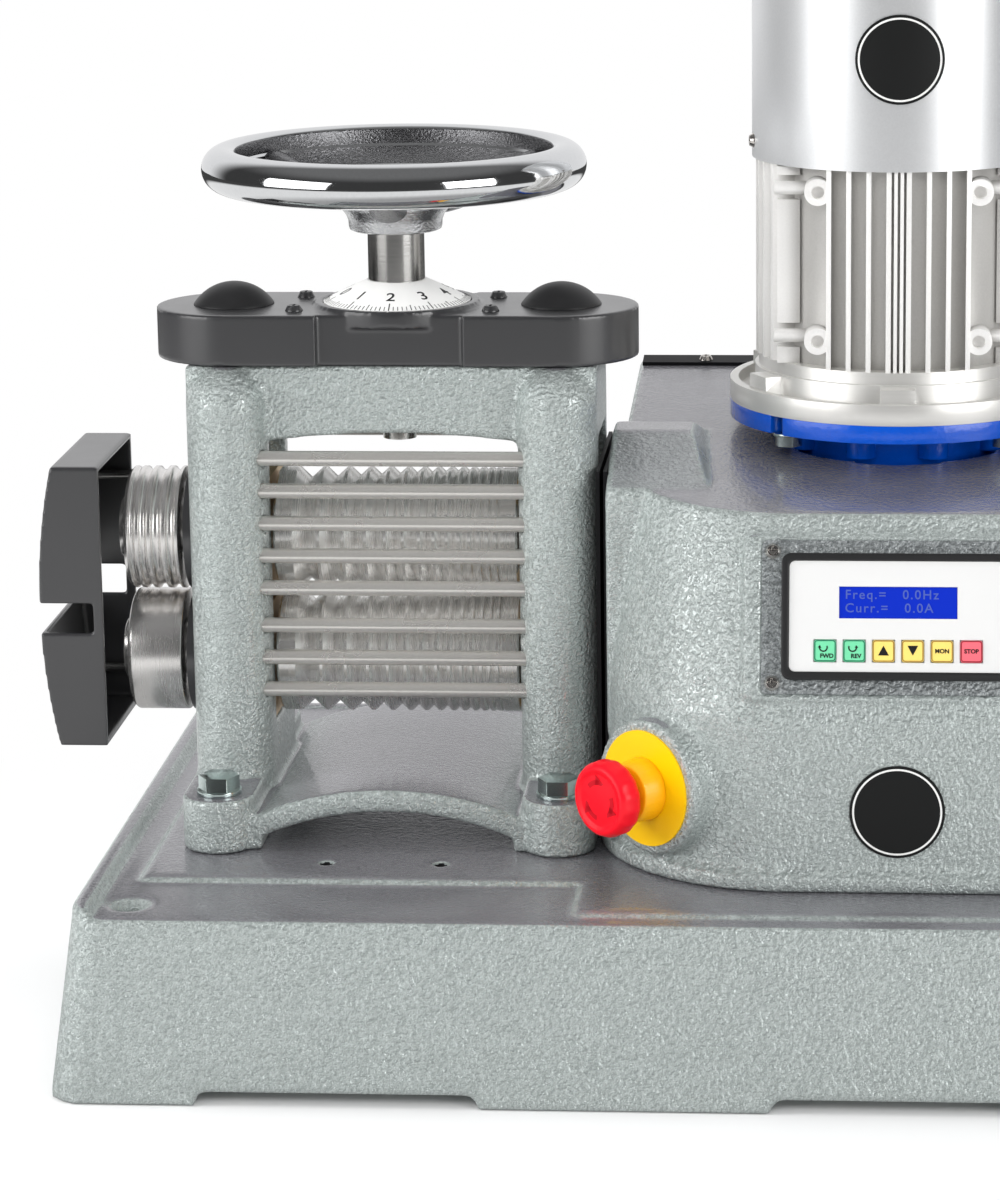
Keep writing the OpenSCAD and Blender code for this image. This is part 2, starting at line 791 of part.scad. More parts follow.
// Plate with an upright slot that lets both shafts through
module shaft_plate(t, half_w, z0, z1, slot_r) {
    difference() {
        translate([0, -half_w, z0]) cube([t, 2 * half_w, z1 - z0]);
        translate([-cut, 0, 0]) {
            for (z = [lower_z, upper_z + lift_up]) translate([0, 0, z]) along_x()
                cylinder(r = slot_r, h = t + 2 * cut);
            translate([0, -slot_r, lower_z]) cube([t + 2 * cut, 2 * slot_r, upper_z + lift_up - lower_z]);
        }
    }
}

// Disc on the cheek behind an extension roll, its hole long enough for the lift
module shaft_disc(lift) {
    hole_r = ext_seat_r + 3;
    difference() {
        along_x() cylinder(r = roll_d / 2, h = ext_plate_t);
        translate([-cut, 0, 0]) along_x() cylinder(r = hole_r, h = ext_plate_t + 2 * cut);
        if (lift > 0) translate([-cut, 0, 0]) {
            translate([0, 0, lift]) along_x() cylinder(r = hole_r, h = ext_plate_t + 2 * cut);
            translate([0, -hole_r, 0]) cube([ext_plate_t + 2 * cut, 2 * hole_r, lift]);
        }
    }
}

module extension_plate() color([0.06, 0.06, 0.06]) translate([mill_x - cheek_out - ext_plate_t, 0, 0]) {
    translate([0, 0, lower_z]) shaft_disc(0);
    translate([0, 0, upper_z]) shaft_disc(lift_up);
}

module gear_guard() color([0.05, 0.05, 0.05]) {
    x0 = mill_x + cheek_out;
    t = (house_x0 - x0) * 0.34;
    for (x = [x0, house_x0 - t]) translate([x, 0, 0])
        shaft_plate(t, column_y + 18, deck_z + foot_h + 1, hump_top - 2 * house_wall, journal_r + 3);
}

// Outline of the top cover, drawn in from its edge by inset
module cover_plan(inset) {
    for (x = [-1, 1]) {
        translate([x * cheek_off, 0]) circle(lobe_r - inset);
        translate([x * (cheek_off + waist_x + inset) / 2, 0])
            square([cheek_off - waist_x - inset, 2 * (lobe_r - inset)], center = true);
    }
    square([2 * (waist_x + inset + cut), 2 * (waist_y - inset)], center = true);
}

module gear_cover() color([0.07, 0.07, 0.07]) translate([mill_x, 0, bridge_z]) {
    difference() {
        union() {
            difference() {
                union() {
                    linear_extrude(cover_h) cover_plan(0);
                    translate([0, 0, cover_h - collar_drop])
                        cylinder(r = collar_ring_r, h = collar_drop + collar_ring_t);
                }
                translate([0, 0, -cut]) linear_extrude(cover_h - cover_wall + cut) cover_plan(cover_wall);
            }
            corners(cover_post[0], cover_post[1]) cylinder(r = cover_post_r, h = cover_h);
        }
        corners(cover_post[0], cover_post[1]) translate([0, 0, -cut])
            cylinder(r = screw_m4_r + slip_gap, h = cover_h + 2 * cut);
        translate([0, 0, cover_h - cover_wall - cut]) {
            cylinder(r = spindle_r + 1, h = cover_wall + collar_ring_t + 2 * cut);
            for (x = [-1, 1]) translate([x * cheek_off, 0, 0])
                cylinder(r = screw_r + 2, h = cover_wall + 2 * cut);
        }
        translate([0, 0, cover_h]) cylinder(r = dial_r + air, h = collar_ring_t + cut);
    }
}

module cover_caps() color([0.05, 0.05, 0.05])
    for (x = [-1, 1]) translate([mill_x + x * cheek_off, 0, cover_z]) {
        ball_r = (cap_r * cap_r + cap_h * cap_h) / (2 * cap_h);
        difference() {
            intersection() {
                translate([0, 0, cap_h - ball_r]) sphere(ball_r);
                cylinder(r = cap_r + cut, h = cap_h + cut);
            }
            translate([0, 0, cap_h - ball_r - 2]) sphere(ball_r);
        }
    }

module cover_screws() color([0.06, 0.06, 0.06])
    translate([mill_x, 0, cover_z]) corners(cover_post[0], cover_post[1])
        pan_screw(button_r, button_t, screw_m4_r, cover_h + pin_depth - 1);

module idler_pins() color([0.7, 0.7, 0.7])
    for (x = [-1, 1]) translate([mill_x + x * idler_off, 0, bridge_z - pin_depth]) {
        cylinder(r = idler_pin_r - run_gap, h = pin_depth + idler_z - bridge_z + idler_t + 0.6);
        translate([0, 0, pin_depth]) cylinder(r = idler_pin_r + 3, h = idler_z - bridge_z - pinion_gap);
    }

module handwheel() color([0.8, 0.8, 0.82]) translate([mill_x, 0, cover_z]) {
    rim_c = wheel_r - wheel_rim_t / 2;
    translate([0, 0, wheel_h]) rotate_extrude() translate([rim_c, 0]) difference() {
        circle(wheel_rim_t / 2);
        translate([-wheel_rim_t, -wheel_rim_t]) square([wheel_rim_t * 0.72, 2 * wheel_rim_t]);
    }
    for (a = [30, 150, 270]) rotate(a) hull() {
        translate([hub_r - 5, 0, hub_h + hub_l - 11]) sphere(9, $fn = 24);
        translate([rim_c - wheel_rim_t * 0.2, 0, wheel_h - 2]) sphere(7, $fn = 24);
    }
    difference() {
        translate([0, 0, hub_h]) union() {
            cylinder(r = hub_r, h = hub_l);
            translate([0, 0, hub_l * 0.45]) cylinder(r1 = hub_r, r2 = hub_r + 5, h = hub_l * 0.3);
            translate([0, 0, hub_l * 0.75]) cylinder(r1 = hub_r + 5, r2 = hub_r - 4, h = hub_l * 0.25);
        }
        translate([0, 0, hub_h - cut]) cylinder(r = spindle_r - 4 + run_gap, h = hub_l + 2 * cut);
    }
}

module wheel_spindle() color([0.75, 0.74, 0.72]) translate([mill_x, 0, 0]) {
    low = bridge_low_z + bridge_rise;
    stub = 9;
    translate([0, 0, low - stub]) cylinder(r = spindle_low_r, h = bridge_z - low + stub + cut);
    translate([0, 0, low - air - 4]) cylinder(r = spindle_low_r + 2, h = 4);
    translate([0, 0, bridge_z + pinion_gap]) cylinder(r = spindle_r, h = cover_h + hub_h - pinion_gap);
    translate([0, 0, cover_z + hub_h - cut]) cylinder(r = spindle_r - 4, h = hub_l + cut + 2);
    translate([0, 0, cover_z + hub_h + hub_l]) cylinder(r = spindle_r, h = 5);
}

module wheel_dial() color([0.95, 0.95, 0.94]) translate([mill_x, 0, cover_z + pinion_gap])
    difference() {
        union() {
            cylinder(r = dial_r, h = 2);
            translate([0, 0, 2]) cylinder(r1 = dial_r, r2 = spindle_r + 1, h = dial_h - 2);
        }
        translate([0, 0, -cut]) cylinder(r = spindle_r + run_gap, h = dial_h + 2 * cut);
    }

module centre_pinion() color([0.55, 0.55, 0.56]) translate([mill_x, 0, idler_z])
    cover_gear(pinion_n, 0, idler_t, spindle_r + run_gap);

// Idler between the pinion and a screw gear, on side -1 or 1
module idler(side) color([0.6, 0.6, 0.6]) translate([mill_x + side * idler_off, 0, idler_z])
    cover_gear(idler_n, side > 0 ? 180 / idler_n : 0, idler_t, idler_pin_r);

module left_idler() { idler(-1); }
module right_idler() { idler(1); }

// Lifting screw with its gear on side -1 or 1, standing on its bearing block
module lift_screw(side) color([0.5, 0.5, 0.5]) translate([mill_x + side * cheek_off, 0, 0]) {
    translate([0, 0, block_top_z]) cylinder(r = screw_r, h = screw_gear_z - block_top_z);
    translate([0, 0, block_top_z - screw_pin_l + air]) cylinder(r = screw_pin_r, h = screw_pin_l);
    translate([0, 0, screw_gear_z - cut]) cylinder(r = screw_r - 2, h = screw_gear_t + screw_top + cut);
    translate([0, 0, screw_gear_z]) cover_gear(pinion_n, 180 / pinion_n, screw_gear_t, screw_r - 3);
}

module left_screw() { lift_screw(-1); }
module right_screw() { lift_screw(1); }

// Start of each wire groove along the barrel
function groove_x(i) = -roll_l / 2 + 10 + groove_pitch * (1 - pow(groove_ratio, i)) / (1 - groove_ratio);

// Roll with its journals, drawn along +X from the middle of its barrel
module roll_body(right_end) {
    r = roll_d / 2;
    grooves = [for (i = [0 : groove_n - 1]) let (
        w = groove_pitch * pow(groove_ratio, i) - groove_land, x = groove_x(i))
        each [[r, x], [r - w * 0.46, x + w / 2], [r, x + w]]];
    along_x() {
        rotate_extrude() polygon(concat(
            [[0, -roll_l / 2], [r - 1, -roll_l / 2], [r, -roll_l / 2 + 1]], grooves,
            [[r, roll_l / 2 - 1], [r - 1, roll_l / 2], [0, roll_l / 2]]));
        translate([0, 0, -cheek_out]) cylinder(r = journal_r, h = cheek_out);
        translate([0, 0, left_end - mill_x]) cylinder(r = ext_seat_r, h = mill_x - left_end);
        cylinder(r = journal_r, h = gear_x0 - mill_x);
        cylinder(r = gear_seat_r, h = right_end - mill_x);
    }
}

module lower_roll() color([0.7, 0.69, 0.67]) translate([mill_x, 0, lower_z])
    roll_body(coupling_x0 + socket_l - 0.5);

module upper_roll() color([0.7, 0.69, 0.67]) translate([mill_x, 0, upper_z]) roll_body(gear_x1 + 2);

// Half-round groove sizes of the upper extension roll: place from its outer end, and radius
ext_grooves = [[0.16, 1.6], [0.36, 2.2], [0.6, 2.8], [0.86, 2.4]];

// Extension roll with its cap, drawn along +X from its outer face
module ext_roll(grooves) along_x() {
    rotate_extrude() difference() {
        translate([ext_seat_r + run_gap, 0]) square([roll_d / 2 - ext_seat_r - run_gap, ext_l]);
        for (g = grooves) translate([roll_d / 2 + g[1] * 0.2, g[0] * ext_l]) circle(g[1]);
        translate([roll_d / 2 - 2, 0]) rotate(-45) square(4);
    }
    translate([0, 0, -ext_cap_t]) cylinder(r1 = ext_cap_r - 1.5, r2 = ext_cap_r, h = ext_cap_t);
}

module lower_extension_roll() color([0.74, 0.72, 0.7]) translate([left_end, 0, lower_z]) ext_roll([]);
module upper_extension_roll() color([0.74, 0.72, 0.7]) translate([left_end, 0, upper_z])
    ext_roll(ext_grooves);

// Roll gear with long teeth that stay in mesh while the upper roll rises
module roll_gear(z, turn) color([0.5, 0.5, 0.52]) translate([gear_x0, 0, z]) along_x()
    linear_extrude(roll_gear_t) difference() {
        gear_outline(roll_gear_n, roll_gear_tip, roll_gear_root, 2.8, 5.8, turn);
        circle(gear_seat_r + run_gap);
    }

module lower_roll_gear() { roll_gear(lower_z, 0); }
module upper_roll_gear() { roll_gear(upper_z, 180 / roll_gear_n); }

module drive_shaft() color([0.62, 0.62, 0.63]) translate([coupling_x0, 0, lower_z]) along_x() difference() {
    union() {
        cylinder(r = coupling_r, h = coupling_l);
        cylinder(r = drive_r, h = drive_x1 - coupling_x0);
    }
    translate([0, 0, -cut]) cylinder(r = gear_seat_r + run_gap, h = socket_l + cut);
}

module worm_wheel() color([0.75, 0.58, 0.3]) translate([motor_x - worm_wheel_t / 2, 0, lower_z]) along_x()
    linear_extrude(worm_wheel_t) difference() {
        gear_outline(wheel_teeth, worm_wheel_tip, worm_wheel_tip - 3, 1.6, 3.6, 0);
        circle(drive_r + run_gap);
    }

// Hump over the roll gears with leaning sides, drawn in from its skin by inset
module hump(inset) {
    x0 = house_x0 + inset;
    foot_l = hump_l + hump_run - 2 * inset;
    foot_w = hump_w - 2 * inset;
    top_w = hump_top_w - inset / 2;
    low = top_z(-hump_w / 2) - inset;
    translate([x0, -foot_w / 2, hump_foot_z]) cube([foot_l, foot_w, low - hump_foot_z]);
    hull() {
        translate([x0, -foot_w / 2, low - skin]) cube([foot_l, foot_w, skin]);
        translate([x0, -top_w / 2, hump_top - inset - skin]) cube([hump_l - 1.6 * inset, top_w, skin]);
    }
}

module gear_housing() color([0.62, 0.66, 0.65]) difference() {
    union() {
        translate([0, 0, deck_z]) linear_extrude(break_h) house_plan(0);
        translate([0, 0, deck_z]) linear_extrude(lip_h) house_plan(-lip_w);
        hull() {
            translate([0, 0, break_z - skin]) linear_extrude(skin) house_plan(0);
            on_top() translate([0, 0, -skin]) linear_extrude(skin) top_plan(0);
        }
        hump(0);
        on_panel() translate([0, 0, -house_wall]) linear_extrude(house_wall + border_t)
            round_rect(border_l, border_w, border_r);
        on_stop() translate([0, 0, -stop_pad])
            cylinder(r = stop_boss_r, h = stop_boss_t + stop_pad);
    }
    difference() {
        union() {
            translate([0, 0, deck_z - cut]) linear_extrude(break_h + cut) house_plan(house_wall);
            hull() {
                translate([0, 0, break_z - skin]) linear_extrude(skin) house_plan(house_wall);
                on_top() translate([0, 0, -house_wall - skin]) linear_extrude(skin) top_plan(house_wall);
            }
            hump(house_wall);
        }
        on_stop() translate([0, 0, -stop_pad]) cylinder(r = stop_boss_r - 8, h = stop_pad);
        for (x = [-1, 1], y = house_bolt_y) translate([motor_x + x * house_bolt_x, y, deck_z])
            cylinder(r = house_boss_r, h = house_boss_h);
    }
    for (x = [-1, 1], y = house_bolt_y) translate([motor_x + x * house_bolt_x, y, deck_z - cut])
        cylinder(r = house_bolt_r, h = house_boss_h - 4);
    on_motor(break_z) cylinder(r = neck_hole_r, h = 2 * break_h);
    for (a = [45, 135]) on_motor(break_z) rotate(a) translate([flange_bolt_circle, 0, 0])
        cylinder(r = m8_washer_r + 3, h = 2 * break_h);
    translate([house_x0 - cut, -shaft_slot, lower_z - shaft_slot])
        cube([house_wall + 2 * cut, 2 * shaft_slot, upper_z + lift_up - lower_z + 2 * shaft_slot]);
    translate([house_x0 + rear_margin, back_y - house_wall - cut, deck_z + lip_h])
        cube([2 * (house_half - rear_margin), house_wall + 2 * cut, top_front_z - deck_z - lip_h]);
    translate([house_x0 - lip_w - cut, back_y, deck_z - cut])
        cube([2 * house_half + 4 * lip_w, 2 * lip_w, lip_h + 2 * cut]);
    on_panel() {
        cube([panel_hole_l, panel_hole_w, 6 * house_wall], center = true);
        linear_extrude(border_t + cut) round_rect(plate_l + 2 * plate_gap, plate_w + 2 * plate_gap, plate_r);
        corners(plate_screw[0], plate_screw[1]) translate([0, 0, -plate_screw_l - cut])
            cylinder(r = screw_shank_r + slip_gap, h = plate_screw_l + 2 * cut);
    }
    on_stop() translate([0, 0, -3 * house_wall]) cylinder(r = stop_hole_r, h = 6 * house_wall);
}

// Cable gland in the rear cover
gland_x = motor_x + house_half * 0.6;
gland_z = deck_z + break_h / 2;
gland_thread_r = 10;
gland_thread_l = 12;
gland_hex_r = 16;
gland_hex_t = 6;
gland_nose_l = 14;
gland_cord_r = 5;

// Places of the screws in the rear cover's lip and face
rear_screw_x = [-house_half * 0.72, 0, house_half * 0.72];
rear_screw_off = house_half - rear_margin / 2 - 3;
rear_face_z = [deck_z + lip_h / 2, top_front_z + top_l * sin(top_tilt) - house_wall / 2];

module rear_cover() color([0.06, 0.06, 0.06]) difference() {
    translate([motor_x - rear_half, 0, 0]) rotate([90, 0, 90]) linear_extrude(2 * rear_half) polygon([
        [rear_y, deck_z + 1], [rear_y + rear_t, deck_z + 1],
        [rear_y + rear_t, lid_z(rear_y + rear_t) + rear_t],
        [back_y - rear_lip, lid_z(back_y - rear_lip) + rear_t],
        [back_y - rear_lip, lid_z(back_y - rear_lip)], [rear_y, lid_z(rear_y)]]);
    translate([gland_x, back_y - cut, gland_z]) rotate([-90, 0, 0])
        cylinder(r = gland_thread_r, h = rear_t + 2 * cut + run_gap);
    for (x = rear_screw_x) {
        on_top() translate([motor_x + x, top_l - rear_lip / 2, -cut])
            cylinder(r = screw_shank_r + slip_gap, h = rear_t + 2 * cut + run_gap);
    }
    for (x = [-1, 0, 1], z = rear_face_z) translate([motor_x + x * rear_screw_off, back_y - cut, z])
        rotate([-90, 0, 0]) cylinder(r = screw_shank_r + slip_gap, h = rear_t + 2 * cut + run_gap);
}

module housing_screws() color([0.75, 0.74, 0.72]) {
    for (x = rear_screw_x)
        on_top() translate([motor_x + x, top_l - rear_lip / 2, rear_t + run_gap])
            pan_screw(screw_head_r, screw_head_t, screw_shank_r, rear_t);
    for (x = [-1, 0, 1], z = rear_face_z) translate([motor_x + x * rear_screw_off, rear_y + rear_t, z])
        rotate([-90, 0, 0]) pan_screw(screw_head_r, screw_head_t, screw_shank_r, rear_t);
    on_panel() corners(plate_screw[0], plate_screw[1]) translate([0, 0, plate_t])
        pan_screw(screw_head_r, screw_head_t, screw_shank_r, plate_t + plate_screw_l);
    for (a = sleeve_screws) on_motor(sleeve_z + sleeve_screw_z) rotate(a)
        translate([sleeve_r, 0, 0]) along_x()
            pan_screw(screw_head_r, screw_head_t, screw_shank_r, sleeve_wall);
}

module panel_plate() color([0.55, 0.58, 0.58]) on_panel() difference() {
    linear_extrude(plate_t) round_rect(plate_l, plate_w, plate_r);
    corners(plate_screw[0], plate_screw[1]) translate([0, 0, -cut])
        cylinder(r = screw_shank_r + slip_gap, h = plate_t + 2 * cut);
}

module keypad_bezel() color([0.06, 0.06, 0.06]) on_panel() translate([0, 0, plate_t])
    linear_extrude(bezel_t) difference() {
        round_rect(bezel_l, bezel_w, border_r);
        round_rect(face_l + 2 * slip_gap, face_w + 2 * slip_gap, plate_r);
    }

// Place of each key along the panel
function key_u(i) = (i - (key_n - 1) / 2) * key_pitch;

module keypad_face() color([0.93, 0.93, 0.92]) on_panel() difference() {
    translate([0, 0, plate_t]) linear_extrude(face_t) round_rect(face_l, face_w, plate_r);
    for (i = [0 : key_n - 1]) translate([key_u(i), key_v, face_z])
        cube([key_side + 2 * air, key_side + 2 * air, 2 * key_well], center = true);
    translate([0, lcd_v, face_z])
        cube([lcd_l + 2 * slip_gap, lcd_w + 2 * slip_gap, 2 * lcd_well], center = true);
}

module lcd_screen() color([0.04, 0.15, 0.75]) on_panel() translate([0, lcd_v, face_z - lcd_well / 2 - 0.2])
    cube([lcd_l, lcd_w, lcd_well - 0.4], center = true);

// One key of the keypad, counted from the left
module key(i) on_panel() translate([key_u(i), key_v, face_z - key_well + key_travel + 0.2])
    linear_extrude(key_well - key_travel - 0.2 + key_rise) round_rect(key_side, key_side, 1.5);

module key_forward() color([0.35, 0.8, 0.55]) key(0);
module key_reverse() color([0.35, 0.8, 0.55]) key(1);
module key_faster() color([0.97, 0.85, 0.45]) key(2);
module key_slower() color([0.97, 0.85, 0.45]) key(3);
module key_mode() color([0.97, 0.85, 0.45]) key(4);
module key_stop() color([0.9, 0.35, 0.3]) key(5);

module speed_drive() color([0.3, 0.31, 0.33]) {
    drive_l = 58;
    drive_w = 120;
    drive_h = 90;
    translate([house_x1 - house_wall - 26 - drive_l, -38, deck_z]) {
        cube([drive_l, drive_w, drive_h]);
        for (y = [12 : 12 : drive_w - 12]) translate([drive_l - cut, y, 10]) cube([8, 3, drive_h - 20]);
    }
}

module stop_legend() color([1, 0.75, 0.05]) on_stop() translate([0, 0, stop_boss_t]) difference() {
    cylinder(r = legend_r, h = legend_t);
    translate([0, 0, -cut]) cylinder(r = stop_hole_r + slip_gap, h = legend_t + 2 * cut);
}

module stop_collar() color([1, 0.72, 0.05]) on_stop() difference() {
    union() {
        translate([0, 0, collar_z]) cylinder(r1 = collar_r + 1.5, r2 = collar_r, h = collar_h);
        translate([0, 0, collar_z - stop_body_l]) cylinder(r = stop_hole_r - slip_gap, h = stop_body_l + cut);
        translate([0, 0, -stop_pad - stop_body_t]) cylinder(r = stop_body_r, h = stop_body_t);
    }
    translate([0, 0, collar_z - stop_body_l + 4])
        cylinder(r = plunger_r + run_gap, h = stop_body_l + collar_h);
}

module stop_plunger() color([0.4, 0.4, 0.4]) on_stop()
    translate([0, 0, collar_z - 20]) cylinder(r = plunger_r, h = head_z - collar_z + 20 + plunger_grip);

module stop_head() color([0.88, 0.08, 0.16]) on_stop() translate([0, 0, head_z]) difference() {
    rotate_extrude() difference() {
        polygon([[0, 0], [stop_head_r - 4, 0], [stop_head_r, 4], [stop_head_r, stop_head_t - 3.5],
            [stop_head_r - 3.5, stop_head_t], [0, stop_head_t]]);
        translate([0, stop_head_t + head_dish_r - head_dish]) circle(head_dish_r);
    }
    translate([0, 0, -cut]) cylinder(r = plunger_r + run_gap, h = plunger_grip + cut);
}

module reducer_case() color([0.04, 0.28, 0.78]) difference() {
    union() {
        on_motor(ring_z) difference() {
            cylinder(r = ring_r, h = ring_t);
            for (a = [45 : 90 : 315]) rotate(a) translate([flange_bolt_circle, 0, -cut]) {
                cylinder(r = notch_w / 2, h = ring_t + 2 * cut);
                translate([0, -notch_w / 2, 0]) cube([ring_r, notch_w, ring_t + 2 * cut]);
            }
        }
        on_motor(case_high - cut) cylinder(r = neck_r, h = ring_z - case_high + 2 * cut);
        for (i = [0 : rib_n - 1]) on_motor(ring_z - rib_h) rotate(rib_turn + i * 360 / rib_n)
            translate([neck_r, 0, 0]) cylinder(r = rib_r, h = rib_h + cut);
        translate([motor_x - case_half, case_front, case_low]) cube([2 * case_half, case_l, case_h]);
        for (x = [motor_x - case_half, motor_x + case_half - case_foot]) translate([x, case_front, deck_z])
            cube([case_foot, case_l, case_low - deck_z + cut]);
    }
    translate([motor_x - case_half + case_wall, case_front + case_wall, case_low + case_wall])
        cube([2 * (case_half - case_wall), case_l - 2 * case_wall, case_h - 2 * case_wall]);
    on_motor(case_high - case_wall - cut)
        cylinder(r = neck_r - neck_wall, h = flange_z - case_high + case_wall + 2 * cut);
    translate([motor_x, 0, lower_z]) along_x()
        cylinder(r = drive_bearing_r, h = 2 * case_half + 2 * cut, center = true);
}

// Ring of a bearing
module bearing_ring(ro, ri, t) {
    difference() {
        cylinder(r = ro, h = t);
        translate([0, 0, -cut]) cylinder(r = ri, h = t + 2 * cut);
    }
}

module shaft_bearings() color([0.66, 0.66, 0.68]) {
    for (x = [motor_x - case_half, motor_x + case_half - case_wall]) translate([x, 0, lower_z]) along_x()
        bearing_ring(drive_bearing_r - slip_gap, drive_r + run_gap, case_wall);
    for (z = [shield_z + 2, barrel_top - barrel_end_t + 0.5]) on_motor(z)
        bearing_ring(motor_bearing_r - slip_gap, motor_shaft_r + run_gap, motor_bearing_t);
}

module motor_flange() color([0.78, 0.78, 0.77]) on_motor(0) difference() {
    union() {
        difference() {
            translate([0, 0, flange_z]) cylinder(r = ring_r, h = flange_t);
            translate([0, 0, flange_z + flange_floor]) bearing_ring(groove_r, shield_r, flange_t);
        }
        translate([0, 0, shield_z - cut]) cylinder(r = shield_r, h = shield_h * 0.55 + cut);
        translate([0, 0, shield_z]) cylinder(r = shield_r - 2, h = shield_h);
        for (i = [0 : lug_n - 1]) rotate(i * 360 / lug_n - 90)
            translate([shield_r - 6, -lug_w / 2, flange_z + flange_floor - cut])
                cube([groove_r - shield_r + 6, lug_w, flange_t - flange_floor + cut + shield_h * 0.5]);
    }
    translate([0, 0, flange_z - cut]) cylinder(r = motor_shaft_r + 2, h = flange_t + shield_h + 2 * cut);
    translate([0, 0, shield_z + 2]) cylinder(r = motor_bearing_r, h = shield_h);
    for (a = [45 : 90 : 315]) rotate(a) translate([flange_bolt_circle, 0, flange_z - cut])
        cylinder(r = house_bolt_r, h = flange_t + 2 * cut);
}

// Cross-section of the finned barrel
module fin_plan() {
    difference() {
        union() {
            circle(barrel_r);
            intersection() {
                circle(fin_r);
                union() for (turn = [0, 90]) rotate(turn) {
                    for (x = [-3.5 : 1 : 3.5]) translate([x * fin_pitch, 0])
                        square([fin_t, 2 * fin_r], center = true);
                    for (x = [-1, 1]) translate([x * mid_rib_off, 0])
                        square([mid_rib_t, 2 * fin_r], center = true);
                }
            }
        }
        circle(stator_r);
    }
}

module motor_barrel() color([0.78, 0.78, 0.77]) on_motor(barrel_z) {
    boss_z = [15, bare_l - 12];
    boss_x = 4.05 * fin_pitch;
    boss_y = fin_r - 21;
    boss_r = 7;
    boss_hole_r = 3.4;
    boss_t = 11;
    arm_r = 3.6;
    arm_l = 18;
    arm_y = pad_y + cut;
    linear_extrude(barrel_l - barrel_end_t) fin_plan();
    difference() {
        translate([0, 0, barrel_l - barrel_end_t - cut]) cylinder(r = fin_r, h = barrel_end_t + cut);
        translate([0, 0, barrel_l - barrel_end_t - 2 * cut])
            cylinder(r = motor_bearing_r, h = barrel_end_t + 3 * cut);
    }
    difference() {
        linear_extrude(bare_l - cut) difference() {
            for (x = [-1, 1], y = [-1, 1]) translate([x * pad_x, y * (pad_y - pad_d / 2)])
                square([pad_w, pad_d], center = true);
            circle(barrel_r - cut);
        }
        for (y = [-1, 1], z = boss_z) translate([0, y * pad_y, z])
            cube([2 * (pad_x + pad_w), 2 * pad_slot, pad_slot_h], center = true);
    }
    difference() {
        for (y = [0, 1], x = [-1, 1], z = boss_z) mirror([0, y, 0]) translate([x * boss_x, -boss_y, z]) {
            rotate([90, 0, 0]) difference() {
                translate([0, 0, -boss_t]) cylinder(r = boss_r, h = 2 * boss_t);
                translate([0, 0, boss_t / 2]) cylinder(r = boss_hole_r, h = boss_t);
            }
            rotate([0, x * 90, 0]) translate([0, boss_y - arm_y, boss_r - 2]) cylinder(r = arm_r, h = arm_l);
        }
        cylinder(r = barrel_r - cut, h = bare_l);
    }
}

module motor_cover() color([0.85, 0.86, 0.88]) on_motor(sleeve_z) difference() {
    union() {
        cylinder(r = sleeve_r, h = sleeve_l - sleeve_round);
        translate([0, 0, sleeve_l - sleeve_round])
            cylinder(r1 = sleeve_r, r2 = sleeve_r - sleeve_round, h = sleeve_round);
    }
    translate([0, 0, -cut]) cylinder(r = sleeve_in, h = sleeve_l - sleeve_wall - sleeve_round + cut);
    translate([0, 0, sleeve_l - sleeve_wall - sleeve_round - skin])
        cylinder(r1 = sleeve_in, r2 = sleeve_in - sleeve_round, h = sleeve_round);
    for (a = sleeve_screws) rotate(a) translate([sleeve_in - cut, 0, sleeve_screw_z])
        along_x() cylinder(r = screw_shank_r + slip_gap, h = sleeve_wall + 2 * cut);
    for (r = [16 : 10 : 56], a = [0 : 90 : 270]) rotate(a) translate([0, 0, sleeve_l - sleeve_wall - cut])
        linear_extrude(sleeve_wall + 2 * cut) intersection() {
            difference() {
                circle(r + 3);
                circle(r - 2);
            }
            translate([grille_rib, grille_rib]) square(fin_r);
        }
}

module motor_stator() color([0.45, 0.3, 0.2]) on_motor(rotor_z) {
    bearing_ring(stator_r - slip_gap, rotor_r + rotor_air, rotor_l);
    for (z = [-12, rotor_l - cut]) translate([0, 0, z]) bearing_ring(stator_r - 4, rotor_r + 6, 12 + cut);
}

// Bolt of the housing and the motor flange, its head hanging below its seat
module hung_bolt(l) mirror([0, 0, 1])
    hex_bolt(m8_af, m8_head_t, m8_washer_r, m8_washer_t, house_bolt_r - slip_gap, l);

module hex_bolts() color([0.8, 0.84, 0.82]) {
    for (x = [-1, 1], y = house_bolt_y) translate([motor_x + x * house_bolt_x, y, tray_z - deck_t])
        hung_bolt(deck_t + plateau_h + house_boss_h - 8);
    for (a = [45 : 90 : 315]) on_motor(ring_z) rotate(a) translate([flange_bolt_circle, 0, 0])
        hung_bolt(ring_t + flange_floor);
}

module badge_discs() color([0.05, 0.05, 0.05]) {
    translate([motor_x, front_y, deck_z + 42]) rotate([90, 0, 0]) cylinder(r = badge_r, h = badge_t);
    on_motor(sleeve_z + 58) intersection() {
        difference() {
            cylinder(r = sleeve_r + badge_t, h = 2 * badge_r, center = true);
            cylinder(r = sleeve_r, h = 2 * badge_r + cut, center = true);
        }
        rotate([90, 0, 0]) cylinder(r = badge_r - 1, h = sleeve_r + badge_t + cut);
    }
}

module cable_gland() color([0.08, 0.08, 0.08])
    translate([gland_x, rear_y + rear_t, gland_z]) rotate([-90, 0, 0]) difference() {
        union() {
            cylinder(r = gland_hex_r, h = gland_hex_t, $fn = 6);
            translate([0, 0, -gland_thread_l])
                cylinder(r = gland_thread_r - slip_gap, h = gland_thread_l + cut);
            translate([0, 0, gland_hex_t - cut])
                cylinder(r1 = gland_hex_r - 3, r2 = gland_cord_r + 4, h = gland_nose_l);
        }
        translate([0, 0, -gland_thread_l - cut])
            cylinder(r = gland_cord_r, h = gland_thread_l + gland_hex_t + gland_nose_l + 2 * cut);
    }

